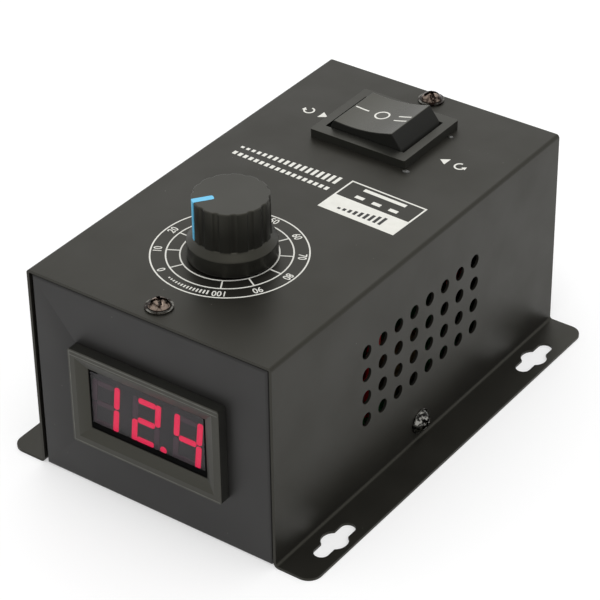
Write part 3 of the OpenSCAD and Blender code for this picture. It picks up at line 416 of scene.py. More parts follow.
# Screen ink: flat white, a little uneven
SCREEN_INK = Finish("screen_ink", "casing", "e8e7e0", "d8d7cf", 0.6, mottle_mm=2.0, grain_mm=0.3)
# Black screen ink on a white box
BLACK_INK = Finish(
    "black_screen_ink", "casing", "1c1c1a", "242422", 0.6, mottle_mm=2.0, grain_mm=0.3
)
# Hot-melt glue: clear drops that look dark over the black sheet, with a wet shine
CLEAR_GLUE = Finish(
    "hot_melt_glue", "switch_plastic", "1e1e1c", "3e3e3a", 0.1, swing=0.04, coat=0.5
)
# Nickel plate over brass or steel: pale and fairly bright
NICKEL = Finish(
    "nickel_plate", "bright_steel", "c9c6bd", "a8a59c", 0.3, 1.0, mottle_mm=3.0, grain_mm=0.4
)
# Zinc plate: cooler and duller
ZINC = Finish(
    "zinc_plate", "bright_steel", "c4c6c8", "9fa1a3", 0.38, 1.0, mottle_mm=2.0, grain_mm=0.4
)
# Rolled brass of the contacts
BRASS = Finish("rolled_brass", "brass", "cda869", "a98746", 0.32, 1.0, mottle_mm=3.0, grain_mm=0.4)
# Copper alloy wire of the shunt
COPPER = Finish("copper_alloy", "copper", "c27f55", "98613d", 0.35, 1.0, mottle_mm=3.0)
# Carbon track on brown paper laminate
CARBON_TRACK = Finish("carbon_on_laminate", "pot_track", "2e1d14", "3a2619", 0.5)
# Natural nylon: milky white
NATURAL_NYLON = Finish("natural_nylon", "white_plastic", "e2ded0", "d6d1c0", 0.45)
# Extruded aluminium: fine lines along the extrusion
EXTRUDED_ALUMINIUM = Finish(
    "extruded_aluminium", "aluminium", "c8cacd", "a9abae", 0.36, 1.0, mottle_mm=4.0,
    stretch=(1.0, 0.05, 1.0),
)
# Silicone pad under the transistors
SILICONE_PAD = Finish("silicone_pad", "transistor_pad", "8aa3aa", "7b949b", 0.7)
# Moulded epoxy of chips and transistors: charcoal and flat
CHIP_EPOXY = Finish("moulded_epoxy", "black_epoxy", "1c1c1e", "232325", 0.55)
# Shrunk vinyl sleeve of a capacitor: dark blue and glossy
SHRUNK_SLEEVE = Finish("shrunk_vinyl_sleeve", "capacitor_sleeve", "141b3a", "1b2348", 0.28)
# Moulded box of the film capacitor: ochre darkened with painted shade, so that glimpses of it
# inside the casing look dark
SHADED_CAPACITOR_BOX = Finish("ochre_capacitor_painted_shade", "film_capacitor", "4f4227", "453a22", 0.4)
# Solder mask over copper tracks
SOLDER_MASK = EtchedBoard("solder_mask", "circuit_board", "14502a", "185a30", 0.38)
# Vinyl insulation: glossy, slightly uneven from extrusion
RED_VINYL = Finish("red_vinyl", "red_insulation", "c01a1e", "a81418", 0.3, mottle_mm=5.0)
BLACK_VINYL = Finish("black_vinyl", "black_insulation", "151515", "1c1c1c", 0.3, mottle_mm=5.0)
YELLOW_VINYL = Finish("yellow_vinyl", "yellow_insulation", "d8a21e", "c79016", 0.3, mottle_mm=5.0)
# Phenolic of the terminal block: hard black with a dull shine
PHENOLIC = Finish(
    "moulded_phenolic", "terminal_block", "1a1a19", "222221", 0.38, grain_mm=0.5,
    grain_depth_mm=0.008,
)


def show(piece: bpy.types.Object, finish: Finish, body: Body) -> bpy.types.Object:
    """Give a new piece its finish and body, and report it.

    Args:
        piece: the new object.
        finish: its finish.
        body: the body that it rides on.

    Returns:
        The piece.
    """
    piece.data.materials.clear()
    piece.data.materials.append(finish.material())
    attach(piece, body.value)
    log.info("%s: %s on %s", piece.name, finish.name, body.value)
    return piece


def new_piece(
    name: str, mesh: Mesh, finish: Finish, body: Body = Body.CASING, smooth: float = 35.0
) -> bpy.types.Object:
    """Turn a finished bmesh into a piece.

    Args:
        name: the piece's name.
        mesh: its bmesh, in metres, which is freed.
        finish: its finish.
        body: the body that it rides on.
        smooth: the largest angle in degrees across which shading stays smooth.

    Returns:
        The piece.
    """
    data = bpy.data.meshes.new(name)
    mesh.to_mesh(data)
    mesh.free()
    for face in data.polygons:
        face.use_smooth = True
    data.set_sharp_from_angle(angle=math.radians(smooth))
    piece = bpy.data.objects.new(name, data)
    bpy.context.scene.collection.objects.link(piece)
    return show(piece, finish, body)


def merge(mesh: Mesh) -> None:
    """Make one point of those that meet."""
    bmesh.ops.remove_doubles(mesh, verts=mesh.verts, dist=MERGE_MM * MM)


def merged_copy(node: str) -> Mesh:
    """Copy a frame node's mesh, with its doubles merged and its flat faces joined.

    Args:
        node: the node's name.

    Returns:
        The copy.
    """
    mesh = bmesh.new()
    mesh.from_mesh(frame["nodes"][node].data)
    merge(mesh)
    flat = math.radians(FLAT_DEG)
    bmesh.ops.dissolve_limit(
        mesh, angle_limit=flat, verts=mesh.verts, edges=mesh.edges, delimit={"NORMAL"}
    )
    return mesh


def rounded_copy(
    node: str, finish: Finish, edge_mm: float, body: Body = Body.CASING,
    quality: Quality = Quality.EDGE, shape: Callable[[Mesh], None] | None = None,
) -> bpy.types.Object:
    """Stand a copy with rounded edges in for a frame node.

    Args:
        node: the node that the piece replaces.
        finish: the piece's finish.
        edge_mm: the width of the rounding.
        body: the body that it rides on.
        quality: the rounding's segments.
        shape: what else is done to the copy first.

    Returns:
        The piece.
    """
    mesh = merged_copy(node)
    if shape is not None:
        shape(mesh)
    piece = new_piece(node + "_shell", mesh, finish, body, SHARP_DEG)
    bevel = piece.modifiers.new("edges", "BEVEL")
    bevel.width = edge_mm * MM
    bevel.segments = quality.value
    bevel.limit_method = "ANGLE"
    bevel.angle_limit = math.radians(ROUNDED_DEG)
    bevel.harden_normals = True
    bevel.miter_outer = "MITER_ARC"
    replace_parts(piece, node)
    return piece


def dress(nodes: dict[str, Finish]) -> None:
    """Give frame nodes that stay their finishes.

    Args:
        nodes: each node's finish.
    """
    for node, finish in nodes.items():
        data = frame["nodes"][node].data
        data.materials.clear()
        data.materials.append(finish.material())
        log.info("%s: %s", node, finish.name)


def joint_place(name: str) -> Vector:
    """Give the place of a joint of the frame, in metres."""
    return next(Vector(j["pos_m"]) for j in frame["joints"] if j["name"] == name)


def eased(corners: list[Pair], edge: float) -> list[Pair]:
    """Round the corners of an open outline and keep its stretches straight beside them.

    Args:
        corners: the outline's points, in millimetres.
        edge: how far each rounding reaches along its two sides.

    Returns:
        The rounded outline's points.
    """
    points = [corners[0]]
    for before, corner, after in zip(corners, corners[1:], corners[2:]):
        middle = Vector(corner)
        back = (Vector(before) - middle).normalized() * edge
        ahead = (Vector(after) - middle).normalized() * edge
        for offset in (2 * back, back, ARC_SHARE * (back + ahead), ahead, 2 * ahead):
            points.append(tuple(middle + offset))
    points.append(corners[-1])
    return points


def ring(mesh: Mesh, middle: Vector, inner: float, outer: float, steps: int = 128) -> None:
    """Lay a flat ring into a bmesh.

    Args:
        mesh: the bmesh.
        middle: the ring's middle, in metres.
        inner: its inner radius in millimetres.
        outer: its outer radius in millimetres.
        steps: its sides.
    """
    edges = []
    for radius in (inner, outer):
        place = Matrix.Translation(middle)
        made = bmesh.ops.create_circle(mesh, segments=steps, radius=radius * MM, matrix=place)
        edges += list({e for v in made["verts"] for e in v.link_edges})
    bmesh.ops.bridge_loops(mesh, edges=edges)


def bar(mesh: Mesh, low: Pair, high: Pair, place: Matrix, cuts: int = 0) -> None:
    """Lay a flat rectangle into a bmesh.

    Args:
        mesh: the bmesh.
        low: its lower left corner in millimetres.
        high: its upper right corner in millimetres.
        place: where the rectangle's own plane lies.
        cuts: how often its length is divided.
    """
    size = Vector((high[0] - low[0], high[1] - low[1])) * MM
    middle = Vector((high[0] + low[0], high[1] + low[1], 0)) * (MM / 2)
    spread = place @ Matrix.Translation(middle) @ Matrix.Diagonal((size.x, size.y, 1, 1))
    made = bmesh.ops.create_grid(mesh, x_segments=cuts + 1, y_segments=1, size=0.5, matrix=spread)
    faces = list({f for v in made["verts"] for f in v.link_faces})
    bmesh.ops.recalc_face_normals(mesh, faces=faces)


def thicken(mesh: Mesh, way: Vector) -> None:
    """Give flat shapes their thickness.

    Args:
        mesh: the bmesh, with every face in one plane.
        way: the thickness and its direction, in millimetres.
    """
    for face in mesh.faces:
        if face.normal.dot(way) < 0:
            face.normal_flip()
    made = bmesh.ops.extrude_face_region(mesh, geom=mesh.faces[:])
    raised = [v for v in made["geom"] if isinstance(v, bmesh.types.BMVert)]
    bmesh.ops.translate(mesh, verts=raised, vec=way * MM)
    bmesh.ops.recalc_face_normals(mesh, faces=mesh.faces)


@dataclass
class Casing:
    """The folded cover, the tray with its front and back panels, and the four screws."""

    sheet_edge: float = 0.22
    tray_edge: float = 0.16
    screw_edge: float = 0.12
    wall_reach: float = 0.66
    foot_reach: float = 0.1
    upright: float = 0.99
    keyhole_deg: float = 25.0
    keyhole_blend: float = 0.9
    keyhole_steps: int = 4

    def blend_keyholes(self, mesh: Mesh) -> None:
        """Round the corners where each keyhole's slot meets its round hole.

        Args:
            mesh: the cover's copy.
        """
        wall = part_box("top_screws")[1].x + self.wall_reach * MM
        least = math.radians(self.keyhole_deg)
        corners = []
        for edge in mesh.edges:
            low, high = sorted((v.co for v in edge.verts), key=lambda co: co.z)
            stands = (high - low).normalized().z > self.upright
            if not stands or abs(low.x) < wall or len(edge.link_faces) != 2:
                continue
            if low.z >= self.foot_reach * MM or edge.is_convex:
                continue
            if edge.calc_face_angle() > least:
                corners.append(edge)
        bmesh.ops.bevel(
            mesh, geom=corners, offset=self.keyhole_blend * MM, offset_type="OFFSET",
            affect="EDGES", segments=self.keyhole_steps, profile=0.5, material=-1,
            clamp_overlap=True,
        )

    def build(self) -> None:
        """Build the casing's pieces."""
        rounded_copy("cover", CASING_COAT, self.sheet_edge, shape=self.blend_keyholes)
        rounded_copy("chassis", CHASSIS_COAT, self.tray_edge)
        rounded_copy("top_screws", SCREW_BRONZE, self.screw_edge)
        rounded_copy("side_screws", SCREW_BLACK, self.screw_edge)


@dataclass
class PanelMeter:
    """The panel meter: its bezel with painted highlights along its edges, its window, painted shade
    in the gap round its display and its figures.
    """

    bezel_edge: float = 0.3
    gap_proud: float = 0.06
    gap_foot: float = 1.9
    gap_left: float = 0.4
    gap_right: float = 0.7
    slot_w: float = 2.9
    slot_h: float = 0.7
    window_lap: float = 0.9
    # Painted highlight lines along the bezel's edges: their width, inset, drops at the top and lift
    highlight_w: float = 0.28
    highlight_in: float = 0.12
    highlight_top: Pair = (0.12, 1.25)
    highlight_proud: float = 0.02
    nodes: dict[str, Finish] = field(
        default_factory=lambda: dict(
            meter_window=WINDOW_ACRYLIC, meter_display=DISPLAY_EPOXY, meter_lit_segments=LIT_EPOXY,
            meter_dark_segments=DARK_EPOXY, meter_board=SOLDER_MASK, meter_back=METER_ABS,
        )
    )

    def front(self, node: str, lap: float = 0.0) -> tuple[Matrix, float, float]:
        """Give a node's front face.

        Args:
            node: the node's name.
            lap: how much of the face is left out at each side, in millimetres.

        Returns:
            The plane from the lower left corner, the width and the height in millimetres.
        """
        low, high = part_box(node)
        width, height = ((high[i] - low[i]) / MM - 2 * lap for i in (0, 2))
        corner = Matrix.Translation(low + Vector((lap, 0, lap)) * MM)
        return corner @ Matrix.Rotation(math.radians(90), 4, "X"), width, height

    def gap(self) -> None:
        """Build the painted shade: black bars below and beside the display and a slot at its top
        left, where the recess lies in shadow.
        """
        place, width, height = self.front("meter_window", self.window_lap)
        mesh = bmesh.new()
        # Each bar paints the shade that fills the recess below and beside the display
        bar(mesh, (0, 0), (width, self.gap_foot), place)
        bar(mesh, (width - self.gap_right, self.gap_foot), (width, height), place)
        bar(mesh, (0, self.gap_foot), (self.gap_left, height), place)
        bar(mesh, (self.gap_left, height - self.slot_h), (self.slot_w, height), place)
        merge(mesh)
        thicken(mesh, Vector((0, -self.gap_proud, 0)))
        new_piece("meter_gap_shade", mesh, GAP_SHADE)

    def painted_highlights(self) -> None:
        """Lay paler lines along the bezel's edges: painted highlights."""
        place, width, height = self.front("meter_housing")
        near = self.highlight_in + self.bezel_edge
        far = near + self.highlight_w
        mesh = bmesh.new()
        bar(mesh, (near, far), (far, height - near), place)
        bar(mesh, (near, near), (width - near, far), place)
        for drop in self.highlight_top:
            top = height - self.bezel_edge - drop
            bar(mesh, (far, top - self.highlight_w), (width - near, top), place)
        thicken(mesh, Vector((0, -self.highlight_proud, 0)))
        new_piece("meter_painted_highlights", mesh, HIGHLIGHT_ABS)

    def build(self) -> None:
        """Build the meter's pieces."""
        rounded_copy("meter_housing", METER_ABS, self.bezel_edge)
        self.painted_highlights()
        self.gap()
        dress(self.nodes)


@dataclass
class SpeedKnob:
    """The fluted knob with its blue pointer, and the potentiometer under it."""

    flutes: int = 14
    steps_per_flute: int = 20
    flute_depth: float = 0.38
    flute_share: float = 0.38
    edge: float = 0.2
    sink: float = 0.04
    skirt_r: float = 11.9
    skirt_h: float = 4.5
    shoulder_h: float = 6.1
    grip_r: float = 10.2
    crown_r: float = 10.1
    bore_r: float = 9.2
    bore_h: float = 3.4
    pointer_deg: float = 37.0
    pointer_edge: float = 0.12
    pointer_tip: float = 0.55
    tip_reach: float = 0.2
    tip_steps: int = 4
    nodes: dict[str, Finish] = field(
        default_factory=lambda: dict(
            pot_shaft=NICKEL, pot_wiper=BRASS, pot_bushing=NICKEL, pot_can=ZINC,
            pot_track=CARBON_TRACK, pot_lugs=BRASS, pot_washer=ZINC, pot_nut=NICKEL,
        )
    )

    def outline(self) -> list[Pair]:
        """Give the knob's half section from the hollow's rim up to the crown's middle.

        Returns:
            Radius and height of each point, in millimetres from the knob's foot.
        """
        low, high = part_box("knob")
        tall = (high.z - low.z) / MM - self.sink
        corners = [
            (self.bore_r, self.bore_h),
            (self.bore_r, 0),
            (self.skirt_r, 0),
            (self.skirt_r, self.skirt_h),
            (self.grip_r, self.shoulder_h),
            (self.crown_r, tall),
            (0, tall),
        ]
        return eased(corners, self.edge)

    def cut_flutes(self, mesh: Mesh, axis: Vector, foot: float) -> None:
        """Draw the grip in at each flute, one of which holds the pointer.

        Args:
            mesh: the turned knob.
            axis: the knob's middle, in metres.
            foot: the height of the knob's foot, in metres.
        """
        turn = math.radians(-90 - self.pointer_deg)
        for vert in mesh.verts:
            height = (vert.co.z - foot) / MM
            side = Vector((vert.co.x - axis.x, vert.co.y - axis.y))
            radius = side.length / MM
            if height < self.shoulder_h + self.edge / 2 or radius < self.crown_r - 3 * self.edge:
                continue
            angle = math.atan2(side.y, side.x) - turn
            turns = angle * self.flutes / math.tau
            share = abs(turns - round(turns)) * 2 / self.flute_share
            if share >= 1:
                continue
            factor = 1 - self.flute_depth * math.sqrt(1 - share * share) / radius
            vert.co.x = axis.x + side.x * factor
            vert.co.y = axis.y + side.y * factor

    def turn_knob(self) -> None:
        """Turn the knob and cut its flutes."""
        axis = joint_place("knob_turn")
        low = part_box("knob")[0]
        mesh = bmesh.new()
        section = [(axis.x + r * MM, axis.y, low.z + z * MM) for r, z in self.outline()]
        points = [mesh.verts.new(spot) for spot in section]
        edges = [mesh.edges.new(pair) for pair in zip(points, points[1:])]
        bmesh.ops.spin(
            mesh, geom=points + edges, cent=(axis.x, axis.y, low.z), axis=(0, 0, 1), angle=math.tau,
            steps=self.flutes * self.steps_per_flute, use_merge=True,
        )
        merge(mesh)
        self.cut_flutes(mesh, axis, low.z)
        rim = [e for e in mesh.edges if e.is_boundary]
        bmesh.ops.contextual_create(mesh, geom=rim)
        bmesh.ops.recalc_face_normals(mesh, faces=mesh.faces)
        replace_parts(new_piece("knob_grip", mesh, KNOB_ABS, Body.KNOB, smooth=50.0), "knob")

    def round_tip(self, mesh: Mesh) -> None:
        """Round the pointer's inner end.

        Args:
            mesh: the pointer's copy.
        """
        axis = joint_place("knob_turn")
        reach = min((v.co - axis).xy.length for v in mesh.verts)
        near = self.tip_reach * MM
        tips = [
            e
            for e in mesh.edges
            if all((v.co - axis).xy.length < reach + near for v in e.verts)
            and abs(e.verts[0].co.z - e.verts[1].co.z) > near
        ]
        bmesh.ops.bevel(
            mesh, geom=tips, offset=self.pointer_tip * MM, offset_type="OFFSET", affect="EDGES",
            segments=self.tip_steps, profile=0.5, material=-1,
        )

    def build(self) -> None:
        """Build the knob's pieces."""
        self.turn_knob()
        rounded_copy(
            "knob_pointer", POINTER_STYRENE, self.pointer_edge, Body.KNOB, shape=self.round_tip
        )
        dress(self.nodes)


@dataclass
class DirectionSwitch:
    """The rocker switch: its bezel, its dished rocker with three marks, and its drops of glue."""

    bezel_edge: float = 0.35
    rocker_edge: float = 0.3
    tilt_deg: float = 6.0
    top_z: float = 8.05
    top_half: float = 9.6
    dip: float = 1.05
    ink: float = 0.05
    ink_sink: float = 0.01
    mark_line: float = 0.52
    mark_cuts: int = 8
    side_slope: float = 0.8
    bar_left: Pair = (-9.0, -4.7)
    bar_y: float = 0.45
    circle_x: float = -0.1
    circle_y: float = 0.2
    circle_r: float = 2.0
    circle_steps: int = 64
    twin_x: Pair = (4.8, 9.0)
    twin_y: Pair = (-1.35, 1.25)
    drops: tuple[Triple, ...] = ((14.7, 27.2, 1.1), (14.6, 49.4, 0.9))
    drop_shape: Triple = (1.0, 0.7, 0.45)
    drop_sink: float = 0.02
    drop_steps: int = 12
    nodes: dict[str, Finish] = field(
        default_factory=lambda: dict(
            switch_plungers=NATURAL_NYLON, switch_springs=ZINC, switch_levers=COPPER,
            switch_terminals=BRASS, switch_receptacles=RED_VINYL,
        )
    )

    def dish(self, x: float) -> float:
        """Give the height of the rocker's dished top above its pivot.

        Args:
            x: the distance from the rocker's middle, in metres.

        Returns:
            The height, in metres.
        """
        radius = (self.top_half**2 + self.dip**2) / (2 * self.dip) * MM
        return (self.top_z - self.dip) * MM + radius - math.sqrt(radius * radius - x * x)

    def marks(self) -> None:
        """Print the line, the circle and the double line on the rocker."""
        mesh = bmesh.new()
        flat = Matrix.Identity(4)
        half = self.mark_line / 2
        lines = [(self.bar_left, self.bar_y), *((self.twin_x, y) for y in self.twin_y)]
        for (left, right), y in lines:
            bar(mesh, (left, y - half), (right, y + half), flat, self.mark_cuts)
        middle = Vector((self.circle_x, self.circle_y, 0)) * MM
        ring(mesh, middle, self.circle_r - half, self.circle_r + half, self.circle_steps)
        thicken(mesh, Vector((0, 0, self.ink)))
        for vert in mesh.verts:
            vert.co.z += self.dish(vert.co.x) - self.ink_sink * MM
        pivot = joint_place("rocker_tilt")
        tilt = Matrix.Translation(pivot) @ Matrix.Rotation(math.radians(-self.tilt_deg), 4, "Y")
        bmesh.ops.transform(mesh, matrix=tilt, verts=mesh.verts)
        new_piece("rocker_marks", mesh, SCREEN_INK, Body.ROCKER)

    def glue(self) -> None:
        """Set drops of clear glue at the bezel's right corners."""
        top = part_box("cover")[1].z
        mesh = bmesh.new()
        for x, y, radius in self.drops:
            place = Matrix.Translation((x * MM, y * MM, top))
            bmesh.ops.create_uvsphere(
                mesh, u_segments=2 * self.drop_steps, v_segments=self.drop_steps,
                radius=radius * MM, matrix=place @ Matrix.Diagonal(self.drop_shape).to_4x4(),
            )
        bmesh.ops.bisect_plane(
            mesh, geom=mesh.verts[:] + mesh.edges[:] + mesh.faces[:], clear_outer=True,
            plane_co=(0, 0, top - self.drop_sink * MM), plane_no=(0, 0, -1),
        )
        bmesh.ops.holes_fill(mesh, edges=[e for e in mesh.edges if e.is_boundary])
        bmesh.ops.recalc_face_normals(mesh, faces=mesh.faces)
        new_piece("switch_glue", mesh, CLEAR_GLUE, smooth=60.0)

    def build(self) -> None:
        """Build the switch's pieces."""
        rounded_copy("switch_housing", SWITCH_NYLON, self.bezel_edge)
        rocker = rounded_copy(
            "switch_rocker", ROCKER_NYLON, self.rocker_edge, Body.ROCKER, Quality.SOFT
        )
        # The steep faces take the darker, duller copy, which paints shade on the rocker's sides
        rocker.data.materials.append(SHADED_ROCKER_SIDES.material())
        for face in rocker.data.polygons:
            face.material_index = int(face.normal.z < self.side_slope)
        self.marks()
        self.glue()
        dress(self.nodes)


@dataclass
class TopPrint:
    """The white print on the cover: the dial, a rising scale, two boxes and two turning arrows."""

    ink: float = 0.04
    ink_sink: float = 0.01
    line: float = 0.4
    skew_deg: float = -2.0
    dial_at: Pair = (-0.33, -32.03)
    rings: Triple = (12.89, 16.56, 20.66)
    ring_steps: int = 192
    first_deg: float = 31.2
    step_deg: float = 30.0
    marks: int = 11
    number_r: float = 18.75
    number_h: float = 2.35
    number_narrow: float = 0.82
    number_em: float = 1.38
    number_bold: float = 1 / 65
    number_steps: int = 3
    wedge_deg: Pair = (-19.5, 18.0)
    wedge_h: Pair = (0.5, 1.7)
    wedge_bars: int = 14
    wedge_bar: float = 0.45
    scale_x: Pair = (-30.4, 2.9)
    scale_y: float = 11.1
    scale_h: Pair = (0.9, 3.7)
    scale_bars: int = 18
    scale_share: float = 0.55
    dash_y: Pair = (7.3, 8.9)
    dash_share: float = 0.62
    box_x: Pair = (4.9, 29.6)
    box_y: Triple = (-0.2, 7.3, 15.4)
    box_line: float = 0.5
    sign_share: Pair = (0.85, 0.16)
    sign_dashes: int = 3
    load_bars: int = 9
    load_w: float = 0.6
    load_bar: float = 0.55
    load_foot: float = 0.25
    load_rise: float = 0.5
    arrows: tuple[Triple, ...] = ((-25.5, 38.5, -1.0), (21.9, 38.5, 1.0))
    arrow_apart: float = 4.1
    arrow_r: float = 1.45
    arrow_line: float = 0.5
    arrow_deg: float = 250.0
    arrow_steps: int = 32
    arrow_head: float = 1.3
    head_share: float = 0.6
    point_l: float = 2.4
    point_w: float = 3.2

    def face(self) -> Matrix:
        """Give the plane of the cover's top."""
        return Matrix.Translation((0, 0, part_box("cover")[1].z - self.ink_sink * MM))

    def stand(self, radius: float, degrees: float) -> Matrix:
        """Give a place on the dial, turned with its own up towards the dial's middle.

        Args:
            radius: the distance from the dial's middle, in millimetres.
            degrees: the clockwise turn from the front.

        Returns:
            The place, in metres, with no height.
        """
        middle = Matrix.Translation(Vector((*self.dial_at, 0)) * MM)
        turn = Matrix.Rotation(math.radians(-degrees), 4, "Z")
        return middle @ turn @ Matrix.Translation((0, -radius * MM, 0))

    def dial(self) -> None:
        """Print the dial's rings and ticks."""
        mesh = bmesh.new()
        middle = self.stand(0, 0).translation
        half = self.line / 2
        for radius in self.rings:
            ring(mesh, middle, radius - half, radius + half, self.ring_steps)
        for i in range(self.marks):
            place = self.stand(0, self.first_deg + i * self.step_deg)
            bar(mesh, (-half, -self.rings[1] + half), (half, -self.rings[0] - half), place)
        self.print_on(mesh, "dial_rings")

    def print_on(
        self, mesh: Mesh, name: str, finish: Finish = SCREEN_INK, lift: float = 0.0
    ) -> None:
        """Give a flat print its ink and lay it on the cover.

        Args:
            mesh: the print, at no height.
            name: the piece's name.
            finish: its ink.
            lift: how far above the cover's face it starts, in millimetres.
        """
        thicken(mesh, Vector((0, 0, self.ink)))
        place = Matrix.Translation((0, 0, lift * MM)) @ self.face()
        bmesh.ops.transform(mesh, matrix=place, verts=mesh.verts)
        new_piece(name, mesh, finish)

    def numbers(self) -> None:
        """Print the numbers from 0 to 100 round the dial, their feet towards its middle."""
        mesh = bmesh.new()
        for i in range(self.marks):
            degrees = self.first_deg + i * self.step_deg
            curve = bpy.data.curves.new("number", "FONT")
            curve.body = str(100 * i // (self.marks - 1))
            curve.align_x = "CENTER"
            curve.align_y = "CENTER"
            curve.size = self.number_h * self.number_em * MM
            curve.offset = self.number_h * self.number_bold * MM
            curve.resolution_u = self.number_steps
            holder = bpy.data.objects.new("number", curve)
            flat = bpy.data.meshes.new_from_object(holder)
            outwards = Matrix.Diagonal((-self.number_narrow, -1, 1, 1))
            flat.transform(self.stand(self.number_r, degrees) @ outwards)
            mesh.from_mesh(flat)
            bpy.data.objects.remove(holder)
            bpy.data.curves.remove(curve)
            bpy.data.meshes.remove(flat)
        merge(mesh)
        self.print_on(mesh, "dial_numbers")

    def wedge(self) -> None:
        """Print bars that grow between the dial's 0 and its 100."""
        mesh = bmesh.new()
        for i in range(self.wedge_bars):
            share = i / (self.wedge_bars - 1)
            degrees = self.wedge_deg[1] + (self.wedge_deg[0] - self.wedge_deg[1]) * share
            half = (self.wedge_h[0] + (self.wedge_h[1] - self.wedge_h[0]) * share) / 2
            place = self.stand(self.number_r, degrees)
            bar(mesh, (-self.wedge_bar / 2, -half), (self.wedge_bar / 2, half), place)
        self.print_on(mesh, "dial_wedge")

    def skewed(self) -> Matrix:
        """Give the slight turn of the print that stands behind the dial."""
        return Matrix.Rotation(math.radians(self.skew_deg), 4, "Z")

    def scale(self) -> None:
        """Print a row of rising bars over a row of dashes."""
        flat = self.skewed()
        mesh = bmesh.new()
        pitch = (self.scale_x[1] - self.scale_x[0]) / self.scale_bars
        for i in range(self.scale_bars):
            left = self.scale_x[0] + i * pitch
            share = i / (self.scale_bars - 1)
            top = self.scale_y + self.scale_h[0] + (self.scale_h[1] - self.scale_h[0]) * share
            bar(mesh, (left, self.scale_y), (left + pitch * self.scale_share, top), flat)
            end = left + pitch * self.dash_share
            bar(mesh, (left, self.dash_y[0]), (end, self.dash_y[1]), flat)
        self.print_on(mesh, "rising_scale")

    def boxes(self) -> None:
        """Print the outlined box and the filled box below it."""
        flat = self.skewed()
        left, right = self.box_x
        foot, middle, top = self.box_y
        line = self.box_line
        mesh = bmesh.new()
        bar(mesh, (left, foot), (right, middle), flat)
        bar(mesh, (left, top - line), (right, top), flat)
        bar(mesh, (left, middle), (left + line, top - line), flat)
        bar(mesh, (right - line, middle), (right, top - line), flat)
        self.print_on(mesh, "rating_boxes")

    def symbols(self) -> None:
        """Print the direct-current sign in the outlined box and rising bars in the filled one."""
        flat = self.skewed()
        left, right = self.box_x
        foot, middle, top = self.box_y
        centre = (left + right) / 2
        long, sign = ((top - middle) * share for share in self.sign_share)
        level = (middle + top) / 2
        mesh = bmesh.new()
        bar(mesh, (centre - long, level + sign), (centre + long, level + 2 * sign), flat)
        slots = 2 * self.sign_dashes - 1
        dash = 2 * long / slots
        for i in range(0, slots, 2):
            start = centre - long + i * dash
            bar(mesh, (start, level - 2 * sign), (start + dash, level - sign), flat)
        self.print_on(mesh, "current_sign")
        mesh = bmesh.new()
        tall = middle - foot
        count = self.load_bars
        pitch = (right - left) * self.load_w / count
        for i in range(count):
            low = (centre + (i - count / 2) * pitch, foot + tall * self.load_foot)
            rise = tall * self.load_rise * (i + 2) / (count + 1)
            bar(mesh, low, (low[0] + pitch * self.load_bar, low[1] + rise), flat)
        self.print_on(mesh, "load_scale", BLACK_INK, self.ink)

    def turning_arrows(self) -> None:
        """Print two arrows that turn opposite ways, each with a point on the side it drives to."""
        mesh = bmesh.new()
        for middle, y, way in self.arrows:
            x = middle + way * self.arrow_apart / 2
            made = bmesh.ops.create_grid(mesh, x_segments=self.arrow_steps, y_segments=1, size=0.5)
            for vert in made["verts"]:
                turn = math.radians(90 + way * (vert.co.x + 0.5) * self.arrow_deg)
                radius = self.arrow_r + vert.co.y * self.arrow_line
                vert.co = Vector((x + radius * math.cos(turn), y + radius * math.sin(turn), 0)) * MM
            turn = math.radians(90 + way * self.arrow_deg)
            out = Vector((math.cos(turn), math.sin(turn), 0))
            ahead = Vector((-out.y, out.x, 0)) * way
            end = (Vector((x, y, 0)) + self.arrow_r * out) * MM
            size = self.arrow_head * MM
            side = out * size * self.head_share
            corners = [end + side, end - side, end + ahead * size]
            mesh.faces.new([mesh.verts.new(corner) for corner in corners])
            foot = x - way * self.arrow_apart
            half = self.point_w / 2
            spots = [(foot, y - half), (foot, y + half), (foot - way * self.point_l, y)]
            mesh.faces.new([mesh.verts.new(Vector((u, v, 0)) * MM) for u, v in spots])
        bmesh.ops.transform(mesh, matrix=self.skewed(), verts=mesh.verts)
        mesh.normal_update()
        self.print_on(mesh, "turning_arrows")

    def build(self) -> None:
        """Print everything on the cover."""
        self.dial()
        self.numbers()
        self.wedge()
        self.scale()
        self.boxes()
        self.symbols()
        self.turning_arrows()


@dataclass
class PowerBoard:
    """The circuit board with what stands on it, and the leads, seen only through the vents."""

    nodes: dict[str, Finish] = field(
        default_factory=lambda: dict(
            main_board=SOLDER_MASK, board_spacers=NICKEL, board_screws=ZINC,
            heatsink=EXTRUDED_ALUMINIUM, transistor_pads=SILICONE_PAD, power_transistors=CHIP_EPOXY,
            transistor_screws=ZINC, storage_capacitors=SHRUNK_SLEEVE, film_capacitor=SHADED_CAPACITOR_BOX,
            freewheel_diode=CHIP_EPOXY, current_shunt=COPPER, control_chip=CHIP_EPOXY,
            signal_headers=NATURAL_NYLON, signal_plugs=NATURAL_NYLON, supply_lead_red=RED_VINYL,
            supply_lead_black=BLACK_VINYL, motor_leads=YELLOW_VINYL, switch_lead_red=RED_VINYL,
            switch_lead_black=BLACK_VINYL, pot_leads=RED_VINYL, meter_leads=RED_VINYL,
        )
    )

    def build(self) -> None:
        """Dress the board and the leads."""
        dress(self.nodes)


@dataclass
class RearTerminals:
    """The four-way barrier block on the back panel with its clamps and screws."""

    block_edge: float = 0.3
    metal_edge: float = 0.15

    def build(self) -> None:
        """Build the block's pieces."""
        rounded_copy("terminal_block", PHENOLIC, self.block_edge)
        rounded_copy("terminal_strips", BRASS, self.metal_edge)
        for node in ("terminal_clamps", "terminal_screws", "block_screws"):
            rounded_copy(node, ZINC, self.metal_edge)
        dress({"block_nuts": ZINC})


